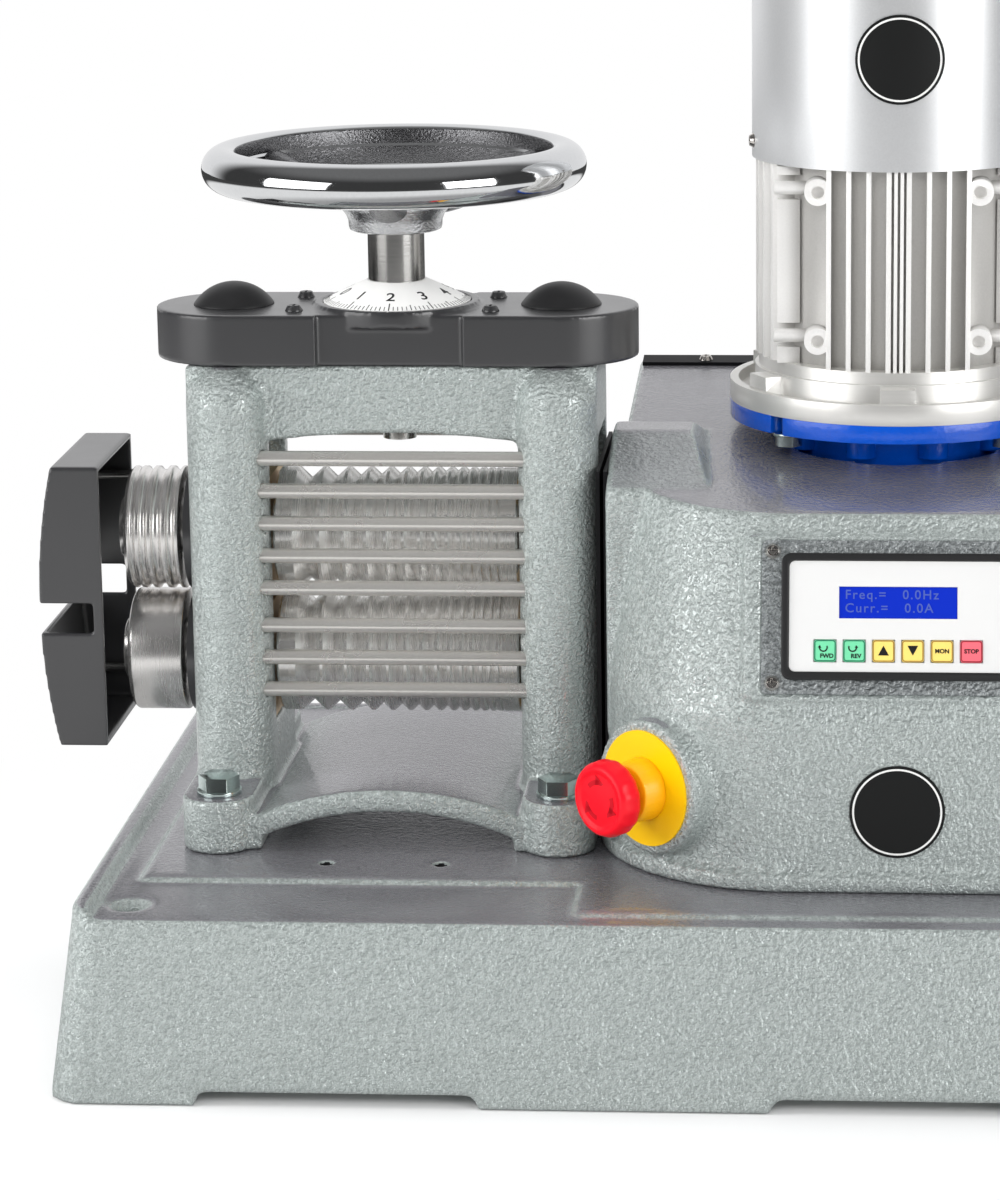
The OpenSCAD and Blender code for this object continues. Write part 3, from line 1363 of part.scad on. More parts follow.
module motor_shaft() color([0.66, 0.66, 0.67]) on_motor(0) {
    low = lower_z - worm_l / 2;
    translate([0, 0, low]) cylinder(r = motor_shaft_r, h = fan_z + fan_t - low);
    for (i = [0 : floor(worm_l / worm_pitch) - 1]) translate([0, 0, low + i * worm_pitch])
        cylinder(r1 = motor_shaft_r, r2 = worm_r, h = worm_pitch / 2);
}

module motor_rotor() color([0.5, 0.5, 0.52]) on_motor(rotor_z)
    bearing_ring(rotor_r, motor_shaft_r + run_gap, rotor_l);

module motor_fan() color([0.15, 0.15, 0.15]) on_motor(fan_z) {
    bearing_ring(fan_hub_r, motor_shaft_r + run_gap, fan_t);
    bearing_ring(fan_r, fan_hub_r - cut, fan_disc_t);
    for (i = [0 : blade_n - 1]) rotate(i * 360 / blade_n) translate([fan_hub_r - cut, -blade_t / 2, 0])
        cube([fan_r - fan_hub_r - cut, blade_t, fan_t]);
}

// Side outline of the extension guard, drawn in from its edge by inset
module guard_side(inset) {
    intersection() {
        translate([-guard_d + guard_r, 0]) circle(guard_r - inset, $fn = 180);
        translate([-guard_d, -guard_h / 2 + inset]) square([guard_d, guard_h - 2 * inset]);
    }
}

module extension_guard() color([0.08, 0.08, 0.08])
    translate([guard_x, 0, pass_z]) {
        slot_z = -guard_slot_drop - guard_slot_h / 2;
        difference() {
            translate([0, guard_w / 2, 0]) rotate([90, 0, 0]) linear_extrude(guard_w) guard_side(0);
            translate([0, guard_w / 2 - guard_wall, 0]) rotate([90, 0, 0])
                linear_extrude(guard_w - 2 * guard_wall) guard_side(guard_wall);
            translate([-skin, -guard_w / 2 + guard_wall, -guard_h / 2 + guard_wall])
                cube([2 * cut, guard_w - 2 * guard_wall, guard_h - 2 * guard_wall]);
            translate([-guard_d - cut, -guard_w, slot_z])
                cube([guard_d - guard_bridge + cut, 2 * guard_w, guard_slot_h]);
        }
    }

module guard_rods() color([0.75, 0.75, 0.76])
    for (z = rods_z) let (x0 = guard_in(abs(z - pass_z) + rod_r) + run_gap) translate([x0, rod_y, z]) along_x()
        cylinder(r = rod_r, h = mill_x - cheek_out + rod_grip - x0);

base_casting();
mill_frame();
frame_bolts();
guard_bars();
lower_bearings();
extension_plate();
gear_cover();
cover_caps();
cover_screws();
idler_pins();
gear_guard();
gear_housing();
rear_cover();
housing_screws();
panel_plate();
keypad_bezel();
keypad_face();
lcd_screen();
speed_drive();
stop_legend();
stop_collar();
reducer_case();
shaft_bearings();
motor_flange();
motor_barrel();
motor_cover();
motor_stator();
hex_bolts();
badge_discs();
cable_gland();
handwheel();
wheel_spindle();
wheel_dial();
centre_pinion();
left_idler();
right_idler();
left_screw();
right_screw();
upper_bearings();
lower_roll();
lower_extension_roll();
lower_roll_gear();
drive_shaft();
worm_wheel();
upper_roll();
upper_extension_roll();
upper_roll_gear();
motor_shaft();
motor_rotor();
motor_fan();
stop_plunger();
stop_head();
key_forward();
key_reverse();
key_faster();
key_slower();
key_mode();
key_stop();
extension_guard();
guard_rods();
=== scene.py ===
# %% [markdown]
# A bench rolling mill, dressed in Blender
#
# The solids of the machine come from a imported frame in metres: X runs along the base, the front faces -Y
# and Z is up. This lesson keeps those solids where they are, gives each a finish made of shader nodes,
# and remodels the pieces whose real shape is softer or richer than a solid model shows, such as the
# castings, the handwheel and the keypad.

# %% Load the frame
import math

import bpy
from mathutils import Matrix, Vector


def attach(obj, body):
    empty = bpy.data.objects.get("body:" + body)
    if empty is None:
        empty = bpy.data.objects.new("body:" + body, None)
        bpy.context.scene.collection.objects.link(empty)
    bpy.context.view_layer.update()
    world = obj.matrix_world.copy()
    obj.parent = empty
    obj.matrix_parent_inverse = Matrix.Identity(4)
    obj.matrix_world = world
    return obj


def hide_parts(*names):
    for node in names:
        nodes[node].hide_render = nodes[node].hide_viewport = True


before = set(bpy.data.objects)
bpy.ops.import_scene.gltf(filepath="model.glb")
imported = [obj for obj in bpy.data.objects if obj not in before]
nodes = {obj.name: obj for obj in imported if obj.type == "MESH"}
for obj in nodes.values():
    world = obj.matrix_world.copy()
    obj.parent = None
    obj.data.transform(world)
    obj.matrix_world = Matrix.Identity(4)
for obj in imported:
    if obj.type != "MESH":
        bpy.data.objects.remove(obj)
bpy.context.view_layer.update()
scene = bpy.context.scene
MM = 0.001

# %% [markdown]
# Camera
#
# The photograph was taken from a little above the handwheel with a long lens, and the frame was then
# shifted. A camera with the same place, angles and focal length, and the same shift, lays the model over
# the photograph. The angles were worked out from straight edges and known sizes of the machine.

# %% Camera
PHOTO_SIDE_PX = 1200
FOCAL_PX = 3864.0
SENSOR_MM = 36.0
CAMERA_MM = Vector((95.9, -2019.0, 701.6))
YAW, PITCH, ROLL = math.radians(-3.69), math.radians(-12.23), math.radians(-0.51)
FRAME_SHIFT = (-0.10, -0.08)

ahead = Vector((math.sin(YAW) * math.cos(PITCH), math.cos(YAW) * math.cos(PITCH), math.sin(PITCH)))
level_right = Vector((math.cos(YAW), -math.sin(YAW), 0.0))
level_up = level_right.cross(ahead)
photo_right = math.cos(ROLL) * level_right + math.sin(ROLL) * level_up
photo_up = math.cos(ROLL) * level_up - math.sin(ROLL) * level_right

camera_data = bpy.data.cameras.new("photo_camera")
camera_data.sensor_width = SENSOR_MM
camera_data.lens = SENSOR_MM * FOCAL_PX / PHOTO_SIDE_PX
camera_data.shift_x, camera_data.shift_y = FRAME_SHIFT
camera = bpy.data.objects.new("photo_camera", camera_data)
scene.collection.objects.link(camera)
camera_turn = Matrix((photo_right, photo_up, -ahead)).transposed()
camera.matrix_world = Matrix.Translation(CAMERA_MM * MM) @ camera_turn.to_4x4()
scene.camera = camera
print("lens", round(camera_data.lens, 1), "mm")

# %% [markdown]
# Shader maths
#
# A finish is a small network of nodes. Placing each node by hand hides the idea, so a Wire wraps one
# socket and lets it be added, multiplied and compared as a number, and a Network makes any other node in
# one line. A Finish is the network of one material. Object coordinates are in metres, so a noise scale of
# 400 means marks about 2.5 mm wide.


# %% Wires and networks
class Wire:
    """One value that flows between shader nodes."""

    def __init__(self, network, socket):
        self.network = network
        self.socket = socket

    def math(self, operation, first, second):
        return self.network.node("ShaderNodeMath", {"operation": operation}, {0: first, 1: second})

    def __add__(self, other):
        return self.math("ADD", self, other)

    def __sub__(self, other):
        return self.math("SUBTRACT", self, other)

    def __rsub__(self, other):
        return self.math("SUBTRACT", other, self)

    def __mul__(self, other):
        return self.math("MULTIPLY", self, other)

    __radd__ = __add__
    __rmul__ = __mul__

    def between(self, low, high):
        """0 below low, 1 above high and a soft step between them."""
        settings = {"interpolation_type": "SMOOTHSTEP"}
        inputs = {"Value": self, "From Min": low, "From Max": high}
        return self.network.node("ShaderNodeMapRange", settings, inputs)


class Network:
    """A tree of shader nodes."""

    def __init__(self, tree):
        self.tree = tree

    def node(self, kind, settings=None, inputs=None, out=0):
        made = self.tree.nodes.new(kind)
        for key, value in (settings or {}).items():
            setattr(made, key, value)
        for key, value in (inputs or {}).items():
            self.join(value, made.inputs[key])
        return Wire(self, made.outputs[out])

    def join(self, value, socket):
        if isinstance(value, Wire):
            self.tree.links.new(value.socket, socket)
        else:
            socket.default_value = value

    def part(self, vector, letter):
        return self.node("ShaderNodeSeparateXYZ", None, {"Vector": vector}, out=letter)

    def vector(self, operation, *vectors, out=0):
        inputs = dict(enumerate(vectors))
        return self.node("ShaderNodeVectorMath", {"operation": operation}, inputs, out)

    def mix(self, share, first, second):
        """Blends two colours. Sockets 6, 7 and 2 of the node are its colours and its coloured result."""
        inputs = {0: share, 6: first, 7: second}
        return self.node("ShaderNodeMix", {"data_type": "RGBA"}, inputs, out=2)


class Finish(Network):
    """One material and the nodes that feed its shader."""

    def __init__(self, name, color, rough, metal=0.0, **constants):
        self.material = bpy.data.materials.new(name)
        self.material.use_nodes = True
        super().__init__(self.material.node_tree)
        self.shader = self.tree.nodes["Principled BSDF"]
        self.set("Base Color", (*color, 1.0))
        self.set("Roughness", rough)
        self.set("Metallic", metal)
        for socket, value in constants.items():
            self.set(socket.replace("_", " "), value)
        self.coords = self.node("ShaderNodeTexCoord", out="Object")

    def set(self, socket, value):
        self.join(value, self.shader.inputs[socket])

    def noise(self, scale, detail=2.0, rough=0.5, stretch=(1.0, 1.0, 1.0), shift_mm=(0.0, 0.0, 0.0)):
        moved = tuple(value * MM for value in shift_mm)
        mapped = {"Vector": self.coords, "Location": moved, "Scale": stretch}
        place = self.node("ShaderNodeMapping", None, mapped)
        inputs = {"Vector": place, "Scale": scale, "Detail": detail, "Roughness": rough}
        return self.node("ShaderNodeTexNoise", None, inputs)

    def relief(self, height, depth_mm):
        inputs = {"Height": height, "Distance": depth_mm * MM}
        self.set("Normal", self.node("ShaderNodeBump", None, inputs))


def paint(red, green, blue):
    """A colour written as it looks on screen, 0 to 255, turned into the linear light that shaders use."""
    parts = [value / 255.0 for value in (red, green, blue)]
    return tuple(p / 12.92 if p <= 0.04045 else ((p + 0.055) / 1.055) ** 2.4 for p in parts)


def rgba(red, green, blue):
    return (*paint(red, green, blue), 1.0)


def shade(color, share):
    return (*[part * share for part in color], 1.0)


print("a mid grey in linear light", [round(v, 3) for v in paint(128, 128, 128)])

# %% [markdown]
# Hammer paint
#
# The castings wear a grey hammer enamel: thick gloss paint that dries into pebbles about 2 mm wide. The
# pebbles could be real geometry, but they are far too many, so two noises make them and a slower swell,
# and both feed one bump. Each pebble also gets painted light and shade: the same noise, moved a little
# along a fixed light direction and taken away from itself, gives its slope, and the slope chooses between
# a painted lit grey and a painted shaded grey. Level faces get a smoother coat and are painted darker, a
# painted shade, so the way a face points chooses between two more greys.


# %% Hammer paint
# Painted light and shade on the pebbles: the offset along a fixed light direction, and the slope that gives
# full painted light or shade.
PEBBLE_LIGHT_SHIFT_MM = (0.30, 0.15, -0.35)
PEBBLE_SHADE_SLOPE = 0.14
SWELL_SCALE = 38.0
LEVEL_FROM, LEVEL_TO = 0.90, 0.99


def hammer_finish(name, pebble_mm, depth_mm, light, dark, level_shade_light, level_shade_dark):
    made = Finish(name, light[:3], rough=0.3, metal=0.5, Coat_Roughness=0.12)
    pebble_scale = 1.0 / (pebble_mm * MM)
    pebbles = made.noise(pebble_scale)
    pebble_painted_shading = pebbles - made.noise(pebble_scale, shift_mm=PEBBLE_LIGHT_SHIFT_MM)
    swell = made.noise(SWELL_SCALE)
    facing = made.node("ShaderNodeNewGeometry", out="Normal")
    level = made.part(facing, "Z").between(LEVEL_FROM, LEVEL_TO)
    # Upright faces: painted lit and painted shaded sides of the pebbles.
    upright = made.mix(pebble_painted_shading.between(-PEBBLE_SHADE_SLOPE, PEBBLE_SHADE_SLOPE), dark, light)
    # Painted shade: level faces get two darker greys.
    level_painted_shade = made.mix(swell, level_shade_dark, level_shade_light)
    made.set("Base Color", made.mix(level, upright, level_painted_shade))
    made.set("Roughness", 0.29 - 0.05 * level + 0.10 * (swell - 0.5))
    made.set("Coat Weight", 0.30 + 0.25 * level)
    bumps = pebbles.between(0.34, 0.66) + 0.4 * swell
    made.relief(bumps * (1.0 - 0.55 * level), depth_mm)
    return made


# Greys: painted lit and painted shaded pebble sides, then the painted shade of level faces.
hammer = hammer_finish("hammer_enamel", 2.2, 0.6, rgba(202, 210, 208), rgba(156, 164, 162),
                       rgba(150, 149, 154), rgba(128, 128, 133))
panel_hammer = hammer_finish("panel_enamel", 2.4, 0.7, rgba(170, 175, 176), rgba(112, 117, 118),
                             rgba(120, 120, 124), rgba(108, 108, 112))
print("paint", hammer.material.name, panel_hammer.material.name)

# %% [markdown]
# Metals
#
# Chrome is nearly a mirror, with faint smears in its roughness. Turned parts carry fine rings round their
# axis: a noise that changes quickly along the axis and slowly across it draws them. Cast metal is dull
# and grainy, and its grain is the same in every direction. Dull metal also scatters light like paint
# does, so its Metallic value is lower.


# %% Metals
def turned_finish(name, color, rough, along, depth_mm=0.004, grain=1400.0, metal=1.0):
    made = Finish(name, color, rough, metal)
    stretch = tuple(1.0 if letter == along else 0.006 for letter in "XYZ")
    rings = made.noise(grain, 3.0, 0.6, stretch)
    smear = made.noise(35.0, 3.0, 0.55)
    made.set("Roughness", rough + 0.10 * (rings - 0.5) + 0.10 * (smear - 0.5))
    made.set("Base Color", made.mix(rings, shade(color, 0.94), shade(color, 1.0)))
    made.relief(rings, depth_mm)
    return made


def plain_metal(name, color, rough, spread, grain, depth_mm, metal=1.0):
    made = Finish(name, color, rough, metal)
    speck = made.noise(grain, 3.0, 0.6)
    smear = made.noise(40.0, 3.0, 0.55)
    made.set("Roughness", rough + spread * (smear - 0.5))
    made.set("Base Color", made.mix(speck, shade(color, 0.88), shade(color, 1.0)))
    made.relief(speck, depth_mm)
    return made


chrome = plain_metal("chrome", (0.80, 0.81, 0.82), 0.06, 0.04, 500.0, 0.0008)
rough_chrome = plain_metal("rough_chrome", (0.30, 0.30, 0.31), 0.24, 0.10, 620.0, 0.55)
cast_chrome = plain_metal("cast_chrome", (0.74, 0.75, 0.76), 0.16, 0.10, 620.0, 0.5)
spindle_steel = turned_finish("spindle_steel", (0.66, 0.65, 0.63), 0.20, "Z")
roll_steel = turned_finish("roll_steel", (0.94, 0.93, 0.91), 0.27, "X", 0.002, metal=0.78)
extension_steel = turned_finish("extension_steel", (0.92, 0.90, 0.88), 0.26, "X", 0.004, 1100.0, 0.90)
bar_steel = plain_metal("bar_steel", (0.84, 0.82, 0.78), 0.28, 0.06, 600.0, 0.003, 0.75)
sleeve_steel = plain_metal("sleeve_steel", (0.88, 0.89, 0.90), 0.34, 0.04, 900.0, 0.002, 0.70)
cast_aluminium = plain_metal("cast_aluminium", (0.80, 0.79, 0.77), 0.42, 0.16, 900.0, 0.08, 0.35)
turned_aluminium = turned_finish("turned_aluminium", (0.82, 0.81, 0.78), 0.34, "Z", 0.02, 900.0, 0.6)
zinc = plain_metal("zinc_plate", (0.64, 0.74, 0.72), 0.20, 0.12, 700.0, 0.01)
gear_steel = plain_metal("gear_steel", (0.42, 0.42, 0.43), 0.38, 0.10, 800.0, 0.02)
bronze = plain_metal("bearing_bronze", (0.60, 0.42, 0.20), 0.36, 0.10, 800.0, 0.02)
screw_steel = plain_metal("screw_steel", (0.80, 0.76, 0.72), 0.22, 0.12, 800.0, 0.01)
print("metals", len([m for m in bpy.data.materials if m.name.endswith(("steel", "chrome", "aluminium"))]))

# %% [markdown]
# Motor fins
#
# The gaps between the cooling fins get painted shade. The distance of a point from the motor's axis tells
# how far out on a fin it lies, so it chooses between a dark grey, the painted shade at the feet, and a
# light grey at the tips. A little grain keeps the change from looking sprayed.

# %% Motor fins
MOTOR_AXIS_M = (0.1135, 0.045, 0.0)
FIN_FOOT_M, FIN_TOP_M = 0.0672, 0.0750
FIN_GAP_SHADE, FIN_LIGHT = (0.48, 0.47, 0.45, 1.0), (0.95, 0.94, 0.92, 1.0)
GRAIN_SHARE = 0.2

from_axis = cast_aluminium.vector("SUBTRACT", cast_aluminium.coords, MOTOR_AXIS_M)
level_axis = cast_aluminium.vector("MULTIPLY", from_axis, (1, 1, 0))
axis_distance = cast_aluminium.vector("LENGTH", level_axis, out="Value")
fin_grain = cast_aluminium.noise(900.0, 3.0, 0.6)
# Painted shade: dark at the feet of the fins, lifting to the light aluminium grey at their tips.
out_of_painted_shade = axis_distance.between(FIN_FOOT_M, FIN_TOP_M) * (1.0 - GRAIN_SHARE) + GRAIN_SHARE * fin_grain
cast_aluminium.set("Base Color", cast_aluminium.mix(out_of_painted_shade, FIN_GAP_SHADE, FIN_LIGHT))
print("fins", cast_aluminium.material.name)

# %% [markdown]
# Plastics, enamels and films
#
# The top cover and the guard are moulded in satin black with a very fine grain. The reducer wears a thick
# blue enamel with an orange-peel skin, the stop button is coloured plastic, and the keypad is a printed
# film. One function gives them all a colour, a fine grain and a slow change of gloss, and each is then
# set by its own numbers.


# %% Plastics
def moulded(name, color, rough, grain=900.0, depth_mm=0.02, coat=0.0, contrast=0.85, gloss=0.5):
    made = Finish(name, color, rough, 0.0, Coat_Weight=coat, Coat_Roughness=0.2, Specular_IOR_Level=gloss)
    speck = made.noise(grain, 3.0, 0.6)
    smear = made.noise(28.0, 3.0, 0.55)
    made.set("Roughness", rough + 0.12 * (smear - 0.5) + 0.06 * (speck - 0.5))
    made.set("Base Color", made.mix(speck, shade(color, contrast), shade(color, 1.0)))
    made.relief(speck, depth_mm)
    return made


BUTTON = {"grain": 500.0, "depth_mm": 0.01}
FILM = {"grain": 1200.0, "depth_mm": 0.004}
KEY = {"contrast": 0.97, "gloss": 0.2, **FILM}
KEY_EDGE = {"contrast": 0.9, "gloss": 0.2, **FILM}
DISPLAY = {"depth_mm": 0.002, "contrast": 0.95, "gloss": 0.15}

black_plastic = moulded("satin_black", paint(44, 44, 46), 0.34, grain=1100.0, coat=0.5, gloss=1.0)
cap_black = moulded("matt_black", paint(34, 34, 35), 0.44, grain=1300.0, depth_mm=0.03)
black_sheet = moulded("black_sheet", paint(20, 20, 22), 0.55, grain=600.0, depth_mm=0.04, gloss=0.2)
badge_black = moulded("badge_black", paint(22, 23, 23), 0.5, depth_mm=0.01, contrast=0.9, gloss=0.25)
blue_enamel = moulded("blue_enamel", paint(0, 84, 204), 0.20, grain=300.0, depth_mm=0.30, coat=0.3)
stop_red = moulded("stop_red", paint(236, 4, 30), 0.34, contrast=0.96, gloss=0.35, **BUTTON)
stop_mark = moulded("stop_mark", paint(190, 2, 24), 0.40, contrast=0.95, gloss=0.3, **BUTTON)
stop_yellow = moulded("stop_yellow", paint(248, 198, 0), 0.40, contrast=0.97, gloss=0.35, **BUTTON)
collar_yellow = moulded("collar_yellow", paint(250, 180, 8), 0.32, coat=0.1, contrast=0.95, **BUTTON)
film_white = moulded("film_white", paint(212, 212, 211), 0.42, contrast=0.98, gloss=0.2, **FILM)
dial_white = moulded("dial_white", paint(246, 246, 244), 0.36, contrast=0.98, gloss=0.3, **FILM)
key_green = moulded("key_green", paint(112, 206, 158), 0.42, **KEY)
key_yellow = moulded("key_yellow", paint(236, 208, 112), 0.42, **KEY)
key_red = moulded("key_red", paint(232, 104, 116), 0.42, **KEY)
edge_green = moulded("edge_green", paint(40, 112, 84), 0.42, **KEY_EDGE)
edge_yellow = moulded("edge_yellow", paint(150, 116, 56), 0.42, **KEY_EDGE)
edge_red = moulded("edge_red", paint(140, 44, 54), 0.42, **KEY_EDGE)
box_grey = moulded("box_grey", paint(84, 86, 90), 0.5)
winding = moulded("winding", paint(120, 70, 40), 0.5, grain=300.0, depth_mm=0.2)
ink_black = moulded("ink_black", paint(22, 22, 24), 0.5)
ink_white = moulded("ink_white", paint(232, 232, 230), 0.5)
display_blue = moulded("display_blue", paint(4, 40, 176), 0.45, **DISPLAY)
display_text = moulded("display_text", paint(74, 92, 168), 0.5, **DISPLAY)
print("materials", len(bpy.data.materials))

# %% [markdown]
# Dress the solids
#
# Most solids already have the right shape, so they only need a finish. Each name on the right is a node
# of the frame.

# %% Dress the solids
FINISHES = {
    hammer: ["base_casting", "mill_frame", "gear_housing"],
    panel_hammer: ["panel_plate"],
    zinc: ["frame_bolts", "hex_bolts"],
    screw_steel: ["housing_screws"],
    bar_steel: ["guard_bars"],
    bronze: ["lower_bearings", "upper_bearings", "worm_wheel"],
    black_plastic: ["extension_plate", "gear_cover", "cover_screws", "cable_gland", "extension_guard",
                    "motor_fan"],
    badge_black: ["badge_discs"],
    cap_black: ["cover_caps", "keypad_bezel"],
    black_sheet: ["gear_guard", "rear_cover"],
    gear_steel: ["idler_pins", "centre_pinion", "left_idler", "right_idler", "left_screw", "right_screw",
                 "lower_roll_gear", "upper_roll_gear", "drive_shaft", "shaft_bearings", "motor_shaft",
                 "motor_rotor", "stop_plunger"],
    roll_steel: ["lower_roll", "upper_roll"],
    extension_steel: ["lower_extension_roll", "upper_extension_roll"],
    chrome: ["handwheel"],
    spindle_steel: ["wheel_spindle", "guard_rods"],
    sleeve_steel: ["motor_cover"],
    cast_aluminium: ["motor_barrel"],
    turned_aluminium: ["motor_flange"],
    blue_enamel: ["reducer_case"],
    film_white: ["keypad_face"],
    dial_white: ["wheel_dial"],
    display_blue: ["lcd_screen"],
    key_green: ["key_forward", "key_reverse"],
    key_yellow: ["key_faster", "key_slower", "key_mode"],
    key_red: ["key_stop"],
    stop_yellow: ["stop_legend"],
    collar_yellow: ["stop_collar"],
    stop_red: ["stop_head"],
    box_grey: ["speed_drive"],
    winding: ["motor_stator"],
}
for finish, names in FINISHES.items():
    for name in names:
        nodes[name].material_slots[0].material = finish.material
undressed = set(nodes) - {name for names in FINISHES.values() for name in names}
print("undressed solids", sorted(undressed))

# %% [markdown]
# Castings
#
# A sand casting has no sharp edge: its corners are rounded and its inside corners are filled. A copy of
# the solid is turned into small even cells by a voxel remesh, a few rounds of smoothing then melt the
# edges, and a decimate takes out the faces that flat areas don't need. Bevels could round the edges one
# by one, but they fail where many meet.


# %% Castings
MERGE_M = 0.00001


def only(piece):
    bpy.ops.object.select_all(action="DESELECT")
    piece.select_set(True)
    bpy.context.view_layer.objects.active = piece


def apply_modifier(piece, kind, **settings):
    only(piece)
    modifier = piece.modifiers.new(kind.lower(), kind)
    for key, value in settings.items():
        setattr(modifier, key, value)
    bpy.ops.object.modifier_apply(modifier=modifier.name)


def solid_copy(node, name):
    piece = bpy.data.objects.new(name, nodes[node].data.copy())
    scene.collection.objects.link(piece)
    only(piece)
    bpy.ops.object.mode_set(mode="EDIT")
    bpy.ops.mesh.select_all(action="SELECT")
    bpy.ops.mesh.remove_doubles(threshold=MERGE_M)
    bpy.ops.object.mode_set(mode="OBJECT")
    return piece


def hand_over(piece, finish, body, slot, *stands_for):
    """Gives a piece its finish, the body that it moves with and the solids that it stands for."""
    piece.data.materials.clear()
    piece.data.materials.append(finish.material)
    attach(piece, body)
    if stands_for:
        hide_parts(*stands_for)
    print(piece.name, "triangles", sum(len(face.vertices) - 2 for face in piece.data.polygons))
    return piece


def melt(node, name, cell_mm, rounds, keep):
    piece = solid_copy(node, name)
    apply_modifier(piece, "REMESH", mode="VOXEL", voxel_size=cell_mm * MM)
    apply_modifier(piece, "SMOOTH", factor=0.5, iterations=rounds)
    apply_modifier(piece, "DECIMATE", ratio=keep)
    only(piece)
    bpy.ops.object.shade_smooth()
    return piece


# Each row: solid, piece, cell in mm, rounds of smoothing, share of faces kept, finish, body and slot.
MELTED = [
    ("mill_frame", "frame_casting", 1.7, 6, 0.4, hammer, "machine", "hammer_paint"),
    ("gear_housing", "housing_shell", 1.9, 7, 0.3, hammer, "machine", "hammer_paint"),
    ("gear_cover", "cover_moulding", 1.0, 5, 0.35, black_plastic, "machine", "black_plastic"),
    ("extension_guard", "guard_moulding", 1.0, 5, 0.35, black_plastic, "extension_guard", "black_plastic"),
]
for node, name, cell, rounds, keep, finish, body, slot in MELTED:
    hand_over(melt(node, name, cell, rounds, keep), finish, body, slot, node)

# %% [markdown]
# The base and its two table holes
#
# The base is cast in one piece, and two small holes for a work table are drilled after casting, so their
# edges are crisp. The melt would close such small holes, so a boolean drills them again, one after the
# other. The bit is a circle that is extruded through the deck. The bare walls of the holes then get a
# second, near-black material, which is painted shade for the inside of the holes.

# %% Base
TABLE_HOLES_MM = [(-182.0, -110.2), (-122.0, -110.2)]
TABLE_HOLE_R_MM = 2.5
BIT_LOW_M, BIT_LONG_M = 0.070, 0.050
WALL_NEAR_MM = 0.3

base = melt("base_casting", "base_shell", 2.3, 6, 0.35)
for hole_x, hole_y in TABLE_HOLES_MM:
    bpy.ops.mesh.primitive_circle_add(vertices=32, radius=TABLE_HOLE_R_MM * MM, fill_type="NGON",
                                      location=(hole_x * MM, hole_y * MM, BIT_LOW_M))
    bpy.ops.object.mode_set(mode="EDIT")
    bpy.ops.mesh.select_all(action="SELECT")
    bpy.ops.mesh.extrude_region_move(TRANSFORM_OT_translate={"value": (0.0, 0.0, BIT_LONG_M)})
    bpy.ops.mesh.select_all(action="SELECT")
    bpy.ops.mesh.normals_make_consistent(inside=False)
    bpy.ops.object.mode_set(mode="OBJECT")
    bit = bpy.context.object
    apply_modifier(base, "BOOLEAN", operation="DIFFERENCE", solver="EXACT", object=bit)
    bpy.data.objects.remove(bit)
hand_over(base, hammer, "machine", "hammer_paint", "base_casting")
# The hole walls are painted near-black: painted shade inside the holes.
base.data.materials.append(black_sheet.material)
for face in base.data.polygons:
    beside = min(math.hypot(face.center.x / MM - x, face.center.y / MM - y) for x, y in TABLE_HOLES_MM)
    if beside < TABLE_HOLE_R_MM + WALL_NEAR_MM and abs(face.normal.z) < 0.5:
        face.material_index = 1
print("hole walls", sum(face.material_index for face in base.data.polygons), "faces")

# %% [markdown]
# Broken edges
#
# Bolts, rolls and turned parts have crisp shapes with only their edges broken. A copy of the solid gets
# its flat triangles dissolved into whole faces, then a narrow bevel on every edge sharper than a given
# angle. The small light line that a bevel catches is what makes machined metal look real.


# %% Broken edges
FLAT_DEG, SHARP_DEG, SMOOTH_DEG = 0.5, 40.0, 34.0


def soften(node, name, width_mm):
    piece = solid_copy(node, name)
    bpy.ops.object.mode_set(mode="EDIT")
    bpy.ops.mesh.select_all(action="SELECT")
    bpy.ops.mesh.dissolve_limited(angle_limit=math.radians(FLAT_DEG))
    bpy.ops.object.mode_set(mode="OBJECT")
    apply_modifier(piece, "BEVEL", width=width_mm * MM, segments=2, limit_method="ANGLE",
                   angle_limit=math.radians(SHARP_DEG), use_clamp_overlap=True)
    only(piece)
    bpy.ops.object.shade_smooth_by_angle(angle=math.radians(SMOOTH_DEG))
    return piece


# Each row: solid, piece, width of the broken edge in mm, finish, body and slot.
SOFTENED = [
    ("frame_bolts", "bolts_softened", 0.5, zinc, "machine", "zinc"),
    ("hex_bolts", "hex_bolts_softened", 0.4, zinc, "machine", "zinc"),
    ("housing_screws", "screws_softened", 0.3, screw_steel, "machine", "machine_steel"),
    ("cover_caps", "caps_softened", 0.7, cap_black, "machine", "black_plastic"),
    ("cover_screws", "cover_screws_softened", 0.4, black_plastic, "machine", "black_plastic"),
    ("keypad_bezel", "bezel_softened", 0.7, cap_black, "machine", "black_plastic"),
    ("panel_plate", "plate_softened", 0.6, panel_hammer, "machine", "panel_grey"),
    ("stop_collar", "collar_softened", 0.8, collar_yellow, "machine", "stop_yellow"),
    ("motor_flange", "flange_softened", 0.7, turned_aluminium, "machine", "cast_aluminium"),
    ("motor_barrel", "barrel_softened", 0.5, cast_aluminium, "machine", "cast_aluminium"),
    ("reducer_case", "reducer_softened", 0.9, blue_enamel, "machine", "blue_paint"),
    ("upper_extension_roll", "upper_ring_softened", 0.8, extension_steel, "upper_roll", "roll_steel"),
    ("lower_extension_roll", "lower_ring_softened", 0.8, extension_steel, "lower_roll", "roll_steel"),
]
for node, name, width, finish, body, slot in SOFTENED:
    hand_over(soften(node, name, width), finish, body, slot, node)

# %% [markdown]
# Lathe work
#
# Round pieces are turned: a profile is drawn on one side of the axis and spun all the way round. Here one
# vertex is left of a plane, extruded from point to point along the profile, and swept by the spin
# operator. The seam where the sweep meets its start is closed by merging doubles, and the normals are
# then turned outwards.


